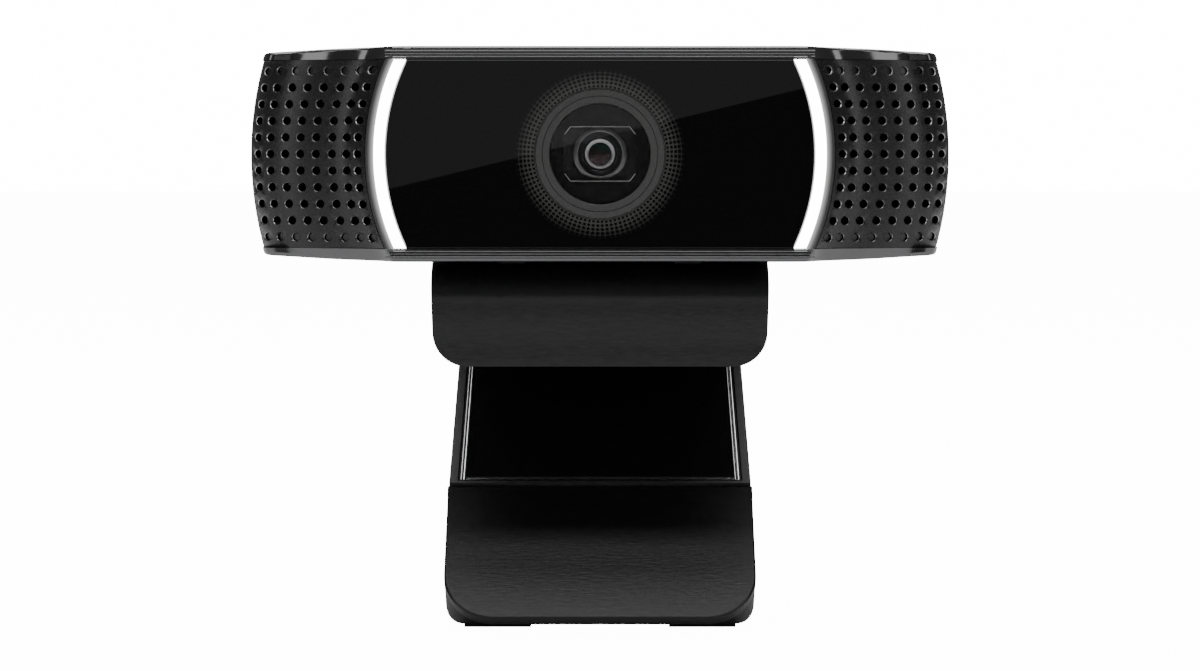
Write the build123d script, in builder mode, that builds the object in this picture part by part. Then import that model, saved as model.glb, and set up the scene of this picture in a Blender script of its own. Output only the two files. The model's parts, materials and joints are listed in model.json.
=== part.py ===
"""Clip-on webcam: a wide camera head that tilts on a hinged arm with a front lip, a leg that folds
down behind the screen, and a foot with a rubber pad and a tripod socket.

Millimetres, +Z up, the camera looks along -Y, +X is to the right seen from the front. The origin is
the centre of the rubber pad that rests on the top edge of a screen, on the pad's lower face.
"""
from build123d import *
from math import cos, radians, sin
import os

os.makedirs("parts", exist_ok=True)

# ---- driving dimensions: camera head ------------------------------------------------------------
lens_height = 22.3  # lens axis above the screen pad
window_y = -30.0  # front face of the window
head_half_height = 14.4
head_depth = 24.0
seam_depth = 14.5  # parting line between the front frame and the rear cover
crown_start = 24.0  # the top and bottom are flat out to here, then curve in
crown_radius = 315.0
wing_curve = [(31.3, 0.6), (34.0, 4.15), (38.6, 5.85), (44.0, 8.1), (47.75, 14.5)]  # radius, depth
band_width = 1.7  # top and bottom bands of the front frame
face_gap = 0.05  # between pieces that lie in one another's recesses
window_radius = 28.7
window_thickness = 1.1
strip_radius = 30.4  # outer radius of the light strips
strip_back = 2.4
border_radius = 31.3  # outer radius of the rim round the light strips
grille_wall = 1.0
grille_inset = 0.08  # grilles below the frame's surface
cover_wall = 1.5

# ---- driving dimensions: lens -------------------------------------------------------------------
lens_ring_radius = 8.75
lens_cover_radius = 6.65
lens_mask_radius = 7.9
mask_opening = (9.8, 7.3)
ring_groove_radius = 7.73
barrel_radius = 3.75
focus_gap = 0.08

# ---- driving dimensions: hinges and clip --------------------------------------------------------
tilt_y = -17.0
tilt_z = 4.8
tilt_barrel_radius = 3.2
tilt_axle_radius = 1.2
tilt_clip_radius = 2.3
tilt_axle_half = 21.6
tilt_clearance = 3.6  # radius kept free round the tilt barrel
ear_inner = 10.2
ear_outer = 13.8
ear_radius = 3.1
arm_half_width = 23.0
arm_side_top = (23.0, 12.0)  # the sides lean in, from here
arm_side_low = (22.2, -7.0)  # to here
arm_top = 4.3
arm_bottom = 0.6
lip_bottom = -6.1
lip_inner_y = -24.4
leg_hinge_y = 27.0
leg_hinge_z = 1.3
leg_barrel_radius = 4.2
leg_axle_radius = 1.5
leg_clip_radius = 2.85
leg_slope = 33.0  # degrees below level, running forward
leg_half_width = 20.95  # at the panel's lower end
leg_flare = 0.018  # half-width gained per millimetre along the leg
leg_thickness = 5.5
leg_drop = 1.8  # hinge axis above the leg's screen-side face
leg_length = 42.44  # from hinge to hinge, along the leg
foot_axis_drop = 3.2  # foot hinge axis behind the leg and pad faces
foot_axle_radius = 0.9
foot_clip_radius = 1.42
foot_slope = 51.0
foot_half_width = 21.2
foot_length = 19.8
foot_knuckle_radius = 2.0
knuckle_relief = 0.35  # free space round the foot's knuckles
knuckle_half_width = 13.0
tripod_thread_minor = 2.6  # 1/4-20 UNC, radius over the thread's crests
running_fit = 0.06
clip_gap = 0.05  # round the friction clips, in their pockets
tilt_clip_half = 6.0
leg_clip_half = 7.0
foot_clip_half = 5.0
leg_axle_half = 19.4
foot_axle_half = 19.8
tilt_bore = tilt_axle_radius + running_fit
leg_bore = leg_axle_radius + running_fit
foot_bore = foot_axle_radius + running_fit
barrel_room_half = 23.2  # half the length of the room for the tilt barrel in the head
ear_gap = 0.35
ear_opening = (4.4, 4.8)  # the head's openings for the ears, across and along

# ---- frames that the pieces are drawn in ---------------------------------------------------------
section_plane = Plane(origin=(0, window_y, lens_height), x_dir=(1, 0, 0), z_dir=(0, 0, 1))
lens_axis = Axis((0, window_y, lens_height), (0, 1, 0))
side_plane = Plane.YZ

leg_out = (0, -cos(radians(leg_slope)), -sin(radians(leg_slope)))
leg_side = Plane(origin=(0, leg_hinge_y, leg_hinge_z), x_dir=leg_out, z_dir=(-1, 0, 0))
foot_hinge = leg_side.from_local_coords((leg_length, -leg_drop - foot_axis_drop, 0))
foot_out = (0, -cos(radians(foot_slope)), -sin(radians(foot_slope)))
foot_face = (0, -sin(radians(foot_slope)), cos(radians(foot_slope)))
foot_side = Plane(origin=foot_hinge, x_dir=foot_out, z_dir=(-1, 0, 0))
foot_plan = Plane(origin=foot_hinge, x_dir=(1, 0, 0), z_dir=foot_face)
foot_y = foot_hinge.Y
foot_z = foot_hinge.Z


def head_plane(depth):
    """A plane across the head, this far behind the window, drawn as seen from the front."""
    return Plane(origin=(0, window_y + depth, lens_height), x_dir=(1, 0, 0), z_dir=(0, -1, 0))


def write(piece, name):
    """Label a finished piece and write it to its own STEP file."""
    piece.part.label = name
    export_step(piece.part, f"parts/{name}.step")


def crowned_band(half_height, half_width=60.0):
    """Draw the head's front outline: a bar whose top and bottom curve in towards the ends."""
    drop = (half_width - crown_start) ** 2 / (2 * crown_radius)
    with BuildLine(Plane.XY) as quarter:
        Line((0, half_height), (crown_start, half_height))
        TangentArc((crown_start, half_height), (half_width, half_height - drop), tangent=(1, 0))
        Polyline((half_width, half_height - drop), (half_width, 0), (0, 0), (0, half_height))
    make_face(quarter.edges())
    mirror(about=Plane.YZ)
    mirror(about=Plane.XZ)


def wing_region(shift_r, shift_depth, mode=Mode.ADD):
    """Draw the half section behind the wing's front surface, moved by the two shifts."""
    points = [(radius + shift_r, depth + shift_depth) for radius, depth in wing_curve]
    with BuildLine(Plane.XY) as outline:
        surface = Spline(*points, tangents=((1, 2.2), (0, 1)))
        Polyline(surface @ 1, (points[-1][0], 20), (points[0][0], 20), surface @ 0)
    make_face(outline.edges(), mode=mode)


def upright_slab(half_height, front, back, mode=Mode.INTERSECT):
    """Keep or cut the layer between two heights and two depths of the head."""
    with BuildSketch(head_plane(back)) as layer:
        Rectangle(120, 2 * half_height)
    extrude(layer.sketch, amount=back - front, mode=mode)


def keep_side(sign):
    """Keep only the half of the head piece on one side: +1 right, -1 left."""
    with BuildSketch(head_plane(seam_depth + 5)) as half:
        with Locations((sign * 30, 0)):
            Rectangle(60, 60)
    extrude(half.sketch, amount=seam_depth + 10, mode=Mode.INTERSECT)


def disc(radius, front, back, mode=Mode.ADD):
    """Add or cut a round layer on the lens axis between two depths."""
    with BuildSketch(head_plane(back)) as layer:
        Circle(radius)
    extrude(layer.sketch, amount=back - front, mode=mode)


def hinge_bar(y, z, radius, x_from, x_to, mode=Mode.ADD):
    """Add or cut a pair of round bars along X, one on each side of the middle plane."""
    for sign in (1, -1):
        with BuildSketch(side_plane.offset(sign * x_from)) as end:
            with Locations((y, z)):
                Circle(radius)
        extrude(end.sketch, amount=sign * (x_to - x_from), mode=mode)


# =================================================================================================
# Camera head: front frame, window, grilles and light strips
# =================================================================================================
boss_x = 38.0
boss_z = 10.2
boss_radius = 2.6
boss_front = 9.2
screw_core = 0.8
ledge_outer = 46.2
ledge_inner = 44.6
pocket_half_height = head_half_height - band_width

with BuildPart() as front_frame:
    with BuildSketch(section_plane):
        wing_region(0, 0)
        with BuildLine():
            Polyline((0, 0.2), (31.0, 0.2), wing_curve[0], (border_radius, 20), (0, 20), (0, 0.2))
        make_face()
        with Locations((0, seam_depth / 2)):
            Rectangle(120, seam_depth, mode=Mode.INTERSECT)
    revolve(axis=lens_axis)
    with BuildSketch(head_plane(seam_depth + 1)):
        crowned_band(head_half_height)
    extrude(amount=seam_depth + 5, mode=Mode.INTERSECT)
    outer_edges = front_frame.edges().filter_by(
        lambda edge: abs(edge.center().Z - lens_height) > head_half_height - 2
    )
    fillet(outer_edges.filter_by(lambda edge: edge.center().Y < window_y + seam_depth - 1), 0.5)
    # the main pocket, then the room for the grilles round both ends
    with BuildSketch(head_plane(seam_depth + 1)):
        crowned_band(pocket_half_height)
        Circle(ledge_inner, mode=Mode.INTERSECT)
    extrude(amount=seam_depth + 5, mode=Mode.SUBTRACT)
    with BuildSketch(head_plane(seam_depth - 2.1)):
        Rectangle(120, 2 * pocket_half_height)
        Circle(border_radius, mode=Mode.SUBTRACT)
    extrude(amount=seam_depth, mode=Mode.SUBTRACT)
    with BuildSketch(head_plane(seam_depth + 1)):
        Rectangle(120, 2 * pocket_half_height)
        Circle(ledge_outer, mode=Mode.SUBTRACT)
    extrude(amount=seam_depth + 1, mode=Mode.SUBTRACT)
    # the raised rims between the light strips and the grilles
    with BuildPart(mode=Mode.PRIVATE) as rims:
        with BuildSketch(section_plane):
            with BuildLine():
                Polyline((30.45, 0), (31.0, 0.05), (31.25, 0.5), (31.25, 5), (30.45, 5), (30.45, 0))
            make_face()
        revolve(axis=lens_axis)
        upright_slab(pocket_half_height + 0.3, -1, 6)
    add(rims.part)
    # bosses for the chassis screws, joined to the bands
    with BuildSketch(head_plane(12.8)):
        with GridLocations(2 * boss_x, 2 * boss_z, 2, 2):
            Circle(boss_radius)
    extrude(amount=12.8 - boss_front)
    with BuildSketch(head_plane(12.8)):
        with GridLocations(2 * boss_x, 2 * boss_z, 2, 2):
            Circle(screw_core)
    extrude(amount=3.0, mode=Mode.SUBTRACT)
    # room for the tilt barrel and the chassis ears in the lower band
    hinge_bar(tilt_y, tilt_z, tilt_clearance, 0, barrel_room_half, Mode.SUBTRACT)
    with BuildSketch(Plane.XY.offset(6)):
        with Locations((-12, tilt_y + 0.2), (12, tilt_y + 0.2)):
            Rectangle(*ear_opening)
    extrude(amount=6, mode=Mode.SUBTRACT)
write(front_frame, "front_frame")

with BuildPart() as front_window:
    with BuildSketch(head_plane(window_thickness)):
        Circle(window_radius)
        Rectangle(120, 2 * (pocket_half_height - face_gap), mode=Mode.INTERSECT)
        Circle(lens_ring_radius + face_gap, mode=Mode.SUBTRACT)
    extrude(amount=window_thickness)
    face_outline = front_window.faces().sort_by(Axis.Y)[0].outer_wire()
    chamfer(face_outline.edges(), 0.2)
write(front_window, "front_window")

with BuildPart() as lens_ring:
    disc(lens_ring_radius, 0, window_thickness)
    disc(lens_cover_radius + face_gap, -0.1, 0.95, Mode.SUBTRACT)
    disc(5.9, 0.9, 1.2, Mode.SUBTRACT)
    with BuildSketch(head_plane(0.15)):
        Circle(ring_groove_radius + 0.1)
        Circle(ring_groove_radius - 0.1, mode=Mode.SUBTRACT)
    extrude(amount=0.2, mode=Mode.SUBTRACT)
write(lens_ring, "lens_ring")

with BuildPart() as lens_cover:
    disc(lens_cover_radius, 0.1, 0.9)
write(lens_cover, "lens_cover")

with BuildPart() as lens_mask:
    disc(lens_mask_radius, 1.15, 1.65)
    with BuildSketch(head_plane(1.7)):
        Rectangle(*mask_opening)
        chamfer(vertices(), 1.05)
    extrude(amount=0.6, mode=Mode.SUBTRACT)
write(lens_mask, "lens_mask")

carrier_outer = 28.0  # the carrier's wall behind the window's edge
carrier_inner = 26.4
with BuildPart() as window_carrier:
    disc(window_radius - 0.1, window_thickness, strip_back)
    with BuildSketch(head_plane(3.7)):
        Circle(carrier_outer)
        Circle(carrier_inner, mode=Mode.SUBTRACT)
    extrude(amount=1.3)
    with BuildSketch(head_plane(4.5)):
        Circle(strip_radius)
        Circle(carrier_inner, mode=Mode.SUBTRACT)
    extrude(amount=0.8)
    disc(lens_mask_radius + 0.1, 0, 3, Mode.SUBTRACT)
    upright_slab(pocket_half_height - 0.2, 0, 6)
write(window_carrier, "window_carrier")

led_angles = (-20, -10, 0, 10, 20)
led_radius = 29.3
microphone_x = 38.0
for side, sign in (("left", -1), ("right", 1)):
    with BuildPart() as grille:
        with BuildSketch(section_plane):
            wing_region(-grille_inset, 1.5 * grille_inset)
            wing_region(-grille_inset - 0.75 * grille_wall, 1.5 * grille_inset + grille_wall, Mode.SUBTRACT)
            with Locations((border_radius + 50 + face_gap, seam_depth / 2)):
                Rectangle(100, seam_depth - 2 * face_gap, mode=Mode.INTERSECT)
        revolve(axis=lens_axis)
        upright_slab(pocket_half_height - face_gap, -1, seam_depth + 1)
        keep_side(sign)
    write(grille, f"grille_{side}")

    with BuildPart() as acoustic_mesh:
        with BuildSketch(section_plane):
            wing_region(-0.13 - 0.75 * grille_wall, 0.15 + grille_wall)
            wing_region(-0.33 - 0.75 * grille_wall, 0.4 + grille_wall, Mode.SUBTRACT)
            with Locations((38.9, 7)):
                Rectangle(10.6, 10, mode=Mode.INTERSECT)
        revolve(axis=lens_axis)
        upright_slab(pocket_half_height - 0.7, -1, seam_depth + 1)
        keep_side(sign)
    write(acoustic_mesh, f"acoustic_mesh_{side}")

    with BuildPart() as light_strip:
        disc(strip_radius, 0.1, strip_back)
        disc(window_radius + face_gap, 0, 3, Mode.SUBTRACT)
        upright_slab(pocket_half_height - 0.15, -1, 3)
        keep_side(sign)
    write(light_strip, f"light_strip_{side}")

    with BuildPart() as led_board:
        disc(strip_radius, 2.9, 3.65)
        disc(carrier_outer + 0.1, 2, 4, Mode.SUBTRACT)
        upright_slab(11.6, 2, 4)
        keep_side(sign)
    write(led_board, f"led_board_{side}")

    with BuildPart() as leds:
        with BuildSketch(head_plane(2.9)):
            for angle in led_angles:
                turn = radians(angle)
                spot = (sign * led_radius * cos(turn), sign * led_radius * sin(turn))
                with Locations(Location(spot, angle)):
                    Rectangle(1.4, 2.2)
        extrude(amount=0.45)
    write(leds, f"leds_{side}")

    # microphone on its board behind the grille, in a rubber boot
    mic_x = sign * microphone_x
    with BuildPart() as microphone_boot:
        with BuildSketch(head_plane(9.9)):
            with Locations((mic_x, 0)):
                RectangleRounded(6.0, 6.0, 1.2)
        extrude(amount=0.9)
        with BuildSketch(head_plane(10)):
            with Locations((mic_x, 0)):
                Circle(1.0)
        extrude(amount=2, mode=Mode.SUBTRACT)
    write(microphone_boot, f"microphone_boot_{side}")

    with BuildPart() as microphone:
        with BuildSketch(head_plane(10.9)):
            with Locations((mic_x, 0)):
                Rectangle(2.8, 3.6)
        extrude(amount=0.95)
    write(microphone, f"microphone_{side}")

    with BuildPart() as microphone_board:
        with BuildSketch(head_plane(11.6)):
            with Locations((mic_x, 0)):
                RectangleRounded(7.0, 11.0, 1.0)
        extrude(amount=0.7)
    write(microphone_board, f"microphone_board_{side}")

# =================================================================================================
# Lens, focus drive, sensor and main board
# =================================================================================================
housing_half = 6.0
cavity_half = 5.2
housing_front = 3.2
board_front = 10.6
board_back = 11.6

with BuildPart() as focus_housing:
    with BuildSketch(head_plane(board_front)):
        RectangleRounded(2 * housing_half, 2 * housing_half, 0.8)
    extrude(amount=board_front - housing_front)
    with BuildSketch(head_plane(board_front)):
        Rectangle(2 * cavity_half, 2 * cavity_half)
    extrude(amount=board_front - housing_front - 1.2, mode=Mode.SUBTRACT)
    disc(barrel_radius + focus_gap, 0, board_front, Mode.SUBTRACT)
write(focus_housing, "focus_housing")

with BuildPart() as focus_magnets:
    with BuildSketch(head_plane(8.2)):
        with PolarLocations(4.9, 4):
            Rectangle(0.5, 5.0)
    extrude(amount=3.2)
write(focus_magnets, "focus_magnets")

with BuildPart() as lens_barrel:
    with BuildSketch(section_plane):
        with BuildLine():
            Polyline(
                (2.85, 2.35), (3.6, 2.35), (barrel_radius, 2.5), (barrel_radius, 8.8), (2.4, 8.8),
                (2.4, 4.9), (1.75, 4.9), (1.75, 3.2), (2.1, 3.2), (2.1, 3.0), (2.85, 2.35),
            )
        make_face()
    revolve(axis=lens_axis)
write(lens_barrel, "lens_barrel")

with BuildPart() as front_lens:
    with BuildSketch(section_plane):
        with BuildLine():
            ThreePointArc((0, 2.72), (0.95, 2.84), (1.7, 3.15))
            Polyline((1.7, 3.15), (1.7, 4.2), (0, 4.2), (0, 2.72))
        make_face()
    revolve(axis=lens_axis)
write(front_lens, "front_lens")

with BuildPart() as rear_lenses:
    disc(2.35, 5.4, 6.6)
    disc(2.35, 7.1, 8.4)
write(rear_lenses, "rear_lenses")

with BuildPart() as lens_retainer:
    disc(2.07, 2.9, 3.2)
    disc(1.75, 2.5, 3.5, Mode.SUBTRACT)
write(lens_retainer, "lens_retainer")

with BuildPart() as focus_coil:
    disc(4.3, 5.2, 7.6)
    disc(barrel_radius, 5, 8, Mode.SUBTRACT)
write(focus_coil, "focus_coil")

with BuildPart() as ir_filter:
    with BuildSketch(head_plane(9.65)):
        Rectangle(6.4, 5.4)
    extrude(amount=0.3)
write(ir_filter, "ir_filter")

with BuildPart() as image_sensor:
    with BuildSketch(head_plane(board_front)):
        Rectangle(8.4, 7.4)
    extrude(amount=0.9)
write(image_sensor, "image_sensor")

board_hole_x = 23.0
board_hole_z = 8.0
connector_spot = (16.0, -3.0)
with BuildPart() as main_board:
    with BuildSketch(head_plane(board_back)):
        RectangleRounded(52, 20.6, 1.5)
        with GridLocations(2 * board_hole_x, 2 * board_hole_z, 2, 2):
            Circle(0.95, mode=Mode.SUBTRACT)
    extrude(amount=board_back - board_front)
write(main_board, "main_board")

with BuildPart() as board_screws:
    with BuildSketch(head_plane(board_front)):
        with GridLocations(2 * board_hole_x, 2 * board_hole_z, 2, 2):
            Circle(1.5)
    extrude(amount=0.8)
    with BuildSketch(head_plane(board_front + 2.6)):
        with GridLocations(2 * board_hole_x, 2 * board_hole_z, 2, 2):
            Circle(screw_core - 0.02)
    extrude(amount=2.6)
write(board_screws, "board_screws")

with BuildPart() as board_connector:
    with BuildSketch(head_plane(board_back + 1.0)):
        with Locations(connector_spot):
            Rectangle(7.0, 3.6)
    extrude(amount=1.0)
write(board_connector, "board_connector")

with BuildPart() as thermal_pad:
    with BuildSketch(head_plane(12.8)):
        Rectangle(13, 13)
    extrude(amount=1.2)
write(thermal_pad, "thermal_pad")

# =================================================================================================
# Chassis with the hinge ears, rear cover, cable gland
# =================================================================================================
chassis_front = 12.8
chassis_back = 14.0
cover_screw_x = 33.0
gland_z = -3.0
cover_hole = 1.05

with BuildPart() as chassis:
    with BuildSketch(head_plane(chassis_back)):
        RectangleRounded(84, 2 * 12.3, 4)
        with Locations(connector_spot):
            RectangleRounded(9, 6, 1, mode=Mode.SUBTRACT)
        with GridLocations(2 * boss_x, 2 * boss_z, 2, 2):
            Circle(screw_core + 0.1, mode=Mode.SUBTRACT)
        with Locations((-27, 0), (27, 0)):
            SlotCenterToCenter(8, 5, rotation=90, mode=Mode.SUBTRACT)
    extrude(amount=chassis_back - chassis_front)
    with BuildSketch(head_plane(chassis_front)):
        with GridLocations(2 * board_hole_x, 2 * board_hole_z, 2, 2):
            Circle(1.8)
        with Locations((-microphone_x, 0), (microphone_x, 0)):
            Circle(2.0)
    extrude(amount=chassis_front - board_back)
    with BuildSketch(head_plane(head_depth - cover_wall - 0.1)):
        with Locations((-cover_screw_x, 0), (cover_screw_x, 0)):
            Circle(2.4)
    extrude(amount=head_depth - cover_wall - chassis_back - 0.1)
    with BuildSketch(head_plane(head_depth)):
        with Locations((-cover_screw_x, 0), (cover_screw_x, 0)):
            Circle(cover_hole)
    extrude(amount=7.5, mode=Mode.SUBTRACT)
    with BuildSketch(head_plane(chassis_back)):
        with GridLocations(2 * board_hole_x, 2 * board_hole_z, 2, 2):
            Circle(screw_core)
    extrude(amount=4, mode=Mode.SUBTRACT)
    # ears that reach down to the tilt axle
    for sign in (1, -1):
        with BuildSketch(side_plane.offset(sign * ear_inner)):
            with Locations((tilt_y, (tilt_z + 11.2) / 2)):
                Rectangle(4.0, 11.2 - tilt_z)
            with Locations((tilt_y, tilt_z)):
                Circle(ear_radius)
        extrude(amount=sign * (ear_outer - ear_inner))
    hinge_bar(tilt_y, tilt_z, tilt_axle_radius, ear_inner - 1, ear_outer + 1, Mode.SUBTRACT)
write(chassis, "chassis")

with BuildPart() as chassis_screws:
    with BuildSketch(head_plane(chassis_back + 0.8)):
        with GridLocations(2 * boss_x, 2 * boss_z, 2, 2):
            Circle(1.6)
    extrude(amount=0.8)
    with BuildSketch(head_plane(chassis_back)):
        with GridLocations(2 * boss_x, 2 * boss_z, 2, 2):
            Circle(screw_core - 0.02)
    extrude(amount=3.8)
write(chassis_screws, "chassis_screws")


def rear_bowl(inset):
    """Draw the rear half of the head, drawn in by inset, as the part being built."""
    end_radius = wing_curve[-1][0] - inset
    rear = head_depth - inset
    bend = rear - seam_depth
    half_height = head_half_height - inset
    with BuildSketch(section_plane) as section:
        with BuildLine():
            Polyline((end_radius, seam_depth), (0, seam_depth), (0, rear), (end_radius - bend, rear))
            ThreePointArc(
                (end_radius - bend, rear),
                (end_radius - bend + bend * sin(radians(45)), seam_depth + bend * cos(radians(45))),
                (end_radius, seam_depth),
            )
        make_face()
    revolve(section.sketch, axis=lens_axis)
    with BuildSketch(head_plane(rear + 1)) as front_outline:
        crowned_band(half_height)
    extrude(front_outline.sketch, amount=rear + 2 - seam_depth, mode=Mode.INTERSECT)
    with BuildSketch(side_plane.offset(-60)) as side_outline:
        with BuildLine():
            low = lens_height - half_height + 0.02
            high = lens_height + half_height - 0.02
            front_y = window_y + seam_depth - 1
            rear_y = window_y + rear - 0.02
            outline = FilletPolyline(
                (front_y, low), (rear_y, low), (rear_y, high), (front_y, high), radius=6.0 - inset,
            )
            Line(outline @ 1, outline @ 0)
        make_face()
    extrude(side_outline.sketch, amount=120, mode=Mode.INTERSECT)


with BuildPart() as rear_cavity:
    rear_bowl(cover_wall)

with BuildPart() as rear_cover:
    rear_bowl(0)
    add(rear_cavity.part, mode=Mode.SUBTRACT)
    with BuildSketch(head_plane(head_depth + 1)):
        with Locations((0, gland_z)):
            Circle(3.25)
        with Locations((-cover_screw_x, 0), (cover_screw_x, 0)):
            Circle(1.2)
    extrude(amount=4, mode=Mode.SUBTRACT)
    with Locations(head_plane(head_depth).rotated((180, 0, 0))):
        with Locations((-cover_screw_x, 0), (cover_screw_x, 0)):
            CounterSinkHole(1.2, 2.3, depth=2)
    hinge_bar(tilt_y, tilt_z, tilt_clearance, 0, barrel_room_half, Mode.SUBTRACT)
    with BuildSketch(Plane.XY.offset(6)):
        with Locations((-12, tilt_y + 0.2), (12, tilt_y + 0.2)):
            Rectangle(*ear_opening)
    extrude(amount=6, mode=Mode.SUBTRACT)
write(rear_cover, "rear_cover")

with BuildPart() as cover_screws:
    for sign in (1, -1):
        spot = (sign * cover_screw_x, window_y + head_depth, lens_height)
        screw_plane = Plane(origin=spot, x_dir=(0, 0, 1), z_dir=(1, 0, 0))
        with BuildSketch(screw_plane):
            with BuildLine():
                Polyline(
                    (0, 0.15), (2.0, 0.15), (2.0, 0.3), (1.0, 1.5), (1.0, 7.0), (0, 7.0), (0, 0.15),
                )
            make_face()
        revolve(axis=Axis(spot, (0, 1, 0)))
write(cover_screws, "cover_screws")

with BuildPart() as cable_gland:
    gland_axis = Axis((0, window_y, lens_height + gland_z), (0, 1, 0))
    with BuildSketch(section_plane.offset(gland_z)):
        with BuildLine():
            Polyline(
                (1.9, 20.8), (4.4, 20.8), (4.4, 22.45), (3.2, 22.45), (3.2, 24.05), (3.9, 24.05),
                (3.9, 25.0), (3.1, 27.2), (1.9, 27.2), (1.9, 20.8),
            )
        make_face()
    revolve(axis=gland_axis)
write(cable_gland, "cable_gland")

with BuildPart() as tilt_axle:
    hinge_bar(tilt_y, tilt_z, tilt_axle_radius, 0, tilt_axle_half)
write(tilt_axle, "tilt_axle")

# =================================================================================================
# Arm: the fixed piece that rests on the screen, with the lip in front
# =================================================================================================
knuckle_gap = 0.4
arm_knuckle_half = 12.0
arm_plate_end = leg_hinge_y - leg_barrel_radius - 0.5
arm_cavity_top = 3.2
arm_cover_top = 1.9
cover_recess_half = 21.0
arm_screw_spots = (34, 28)  # spacing across and along
arm_screw_y = 3.0

with BuildPart() as arm_shell:
    with BuildSketch(side_plane):
        with BuildLine():
            front = Spline(
                (-18.6, 7.57), (-22.4, 6.35), (-25.6, 4.6), (-27.1, 1.6), (-27.2, -2.2),
                (-27.8, lip_bottom), tangents=((-1, -0.2), (-0.35, -1)),
            )
            Polyline(
                front @ 1, (-25.6, lip_bottom), (lip_inner_y, -3.0), (lip_inner_y, arm_bottom),
                (arm_plate_end, arm_bottom), (arm_plate_end, arm_top), (-15, arm_top), front @ 0,
            )
        make_face()
        with Locations((tilt_y, tilt_z)):
            Circle(tilt_barrel_radius)
    extrude(amount=arm_half_width, both=True)
    with BuildSketch(Plane.XZ.offset(40)):
        with BuildLine():
            Polyline(
                arm_side_top, arm_side_low, (-arm_side_low[0], arm_side_low[1]),
                (-arm_side_top[0], arm_side_top[1]), arm_side_top,
            )
        make_face()
    extrude(amount=-80, mode=Mode.INTERSECT)
    lip_corners = arm_shell.edges().filter_by(Axis.Y).group_by(Axis.Z)[0]
    fillet(lip_corners.filter_by(lambda edge: abs(edge.center().X) > 20), 4.6)
    with BuildSketch(side_plane):
        with Locations((leg_hinge_y, leg_hinge_z)):
            Circle(leg_barrel_radius)
        with Locations(((arm_plate_end + leg_hinge_y) / 2 - 1, (arm_top + arm_bottom) / 2)):
            Rectangle(leg_hinge_y - arm_plate_end + 2, arm_top - arm_bottom)
    extrude(amount=arm_knuckle_half, both=True)
    # slots for the ears of the head
    hinge_bar(tilt_y, tilt_z, tilt_clearance, ear_inner - ear_gap, ear_outer + ear_gap, Mode.SUBTRACT)
    # bores for the tilt axle, a wider pocket for its friction clip, and the leg axle's pocket
    hinge_bar(tilt_y, tilt_z, tilt_bore, 0, tilt_axle_half + 0.3, Mode.SUBTRACT)
    hinge_bar(tilt_y, tilt_z, tilt_clip_radius + clip_gap, 0, tilt_clip_half + 0.1, Mode.SUBTRACT)
    hinge_bar(leg_hinge_y, leg_hinge_z, leg_bore, 0, leg_axle_half, Mode.SUBTRACT)
    hinge_bar(
        leg_hinge_y, leg_hinge_z, leg_clip_radius + clip_gap, 0, leg_clip_half + 0.1, Mode.SUBTRACT,
    )
    # recess for the cover and the cavity above it, with four screw bosses
    with BuildSketch(Plane.XY):
        with Locations((0, (lip_inner_y + arm_plate_end) / 2)):
            RectangleRounded(2 * cover_recess_half, arm_plate_end - lip_inner_y - 3.2, 2)
    extrude(amount=arm_cover_top, mode=Mode.SUBTRACT)
    with BuildSketch(Plane.XY):
        with Locations((0, arm_screw_y)):
            RectangleRounded(2 * cover_recess_half - 3, 32, 2)
            with GridLocations(*arm_screw_spots, 2, 2):
                Circle(2.2, mode=Mode.SUBTRACT)
    extrude(amount=arm_cavity_top, mode=Mode.SUBTRACT)
    with BuildSketch(Plane.XY):
        with Locations((0, arm_screw_y)):
            with GridLocations(*arm_screw_spots, 2, 2):
                Circle(screw_core)
    extrude(amount=3.6, mode=Mode.SUBTRACT)
write(arm_shell, "arm_shell")

with BuildPart() as arm_cover:
    with BuildSketch(Plane.XY.offset(arm_bottom)):
        with Locations((0, (lip_inner_y + arm_plate_end) / 2)):
            RectangleRounded(
                2 * cover_recess_half - 0.2, arm_plate_end - lip_inner_y - 3.4, 1.9,
            )
    extrude(amount=arm_cover_top - arm_bottom)
    with BuildSketch(Plane.XY):
        with Locations((0, arm_screw_y)):
            with GridLocations(*arm_screw_spots, 2, 2):
                Circle(screw_core + 0.1)
    extrude(amount=3, mode=Mode.SUBTRACT)
    with BuildSketch(Plane.XY):
        with Locations((0, arm_screw_y)):
            with GridLocations(*arm_screw_spots, 2, 2):
                Circle(1.7)
    extrude(amount=arm_bottom + 0.75, mode=Mode.SUBTRACT)
    hinge_bar(tilt_y, tilt_z, tilt_clearance, ear_inner - ear_gap, ear_outer + ear_gap, Mode.SUBTRACT)
write(arm_cover, "arm_cover")

with BuildPart() as arm_screws:
    with BuildSketch(Plane.XY.offset(arm_bottom + 0.05)):
        with Locations((0, arm_screw_y)):
            with GridLocations(*arm_screw_spots, 2, 2):
                Circle(1.6)
    extrude(amount=0.7)
    with BuildSketch(Plane.XY.offset(arm_bottom + 0.75)):
        with Locations((0, arm_screw_y)):
            with GridLocations(*arm_screw_spots, 2, 2):
                Circle(screw_core - 0.02)
    extrude(amount=2.1)
write(arm_screws, "arm_screws")

with BuildPart() as screen_pad:
    with BuildSketch(Plane.XY):
        RectangleRounded(39, 41, 2.5)
    extrude(amount=arm_bottom)
    chamfer(screen_pad.faces().sort_by(Axis.Z)[0].edges(), 0.15)
write(screen_pad, "screen_pad")

with BuildPart() as lip_pad:
    with BuildSketch(Plane.XZ.offset(-lip_inner_y)):
        with Locations((0, -1.5)):
            RectangleRounded(38, 2.4, 0.8)
    extrude(amount=-0.6)
write(lip_pad, "lip_pad")


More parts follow.
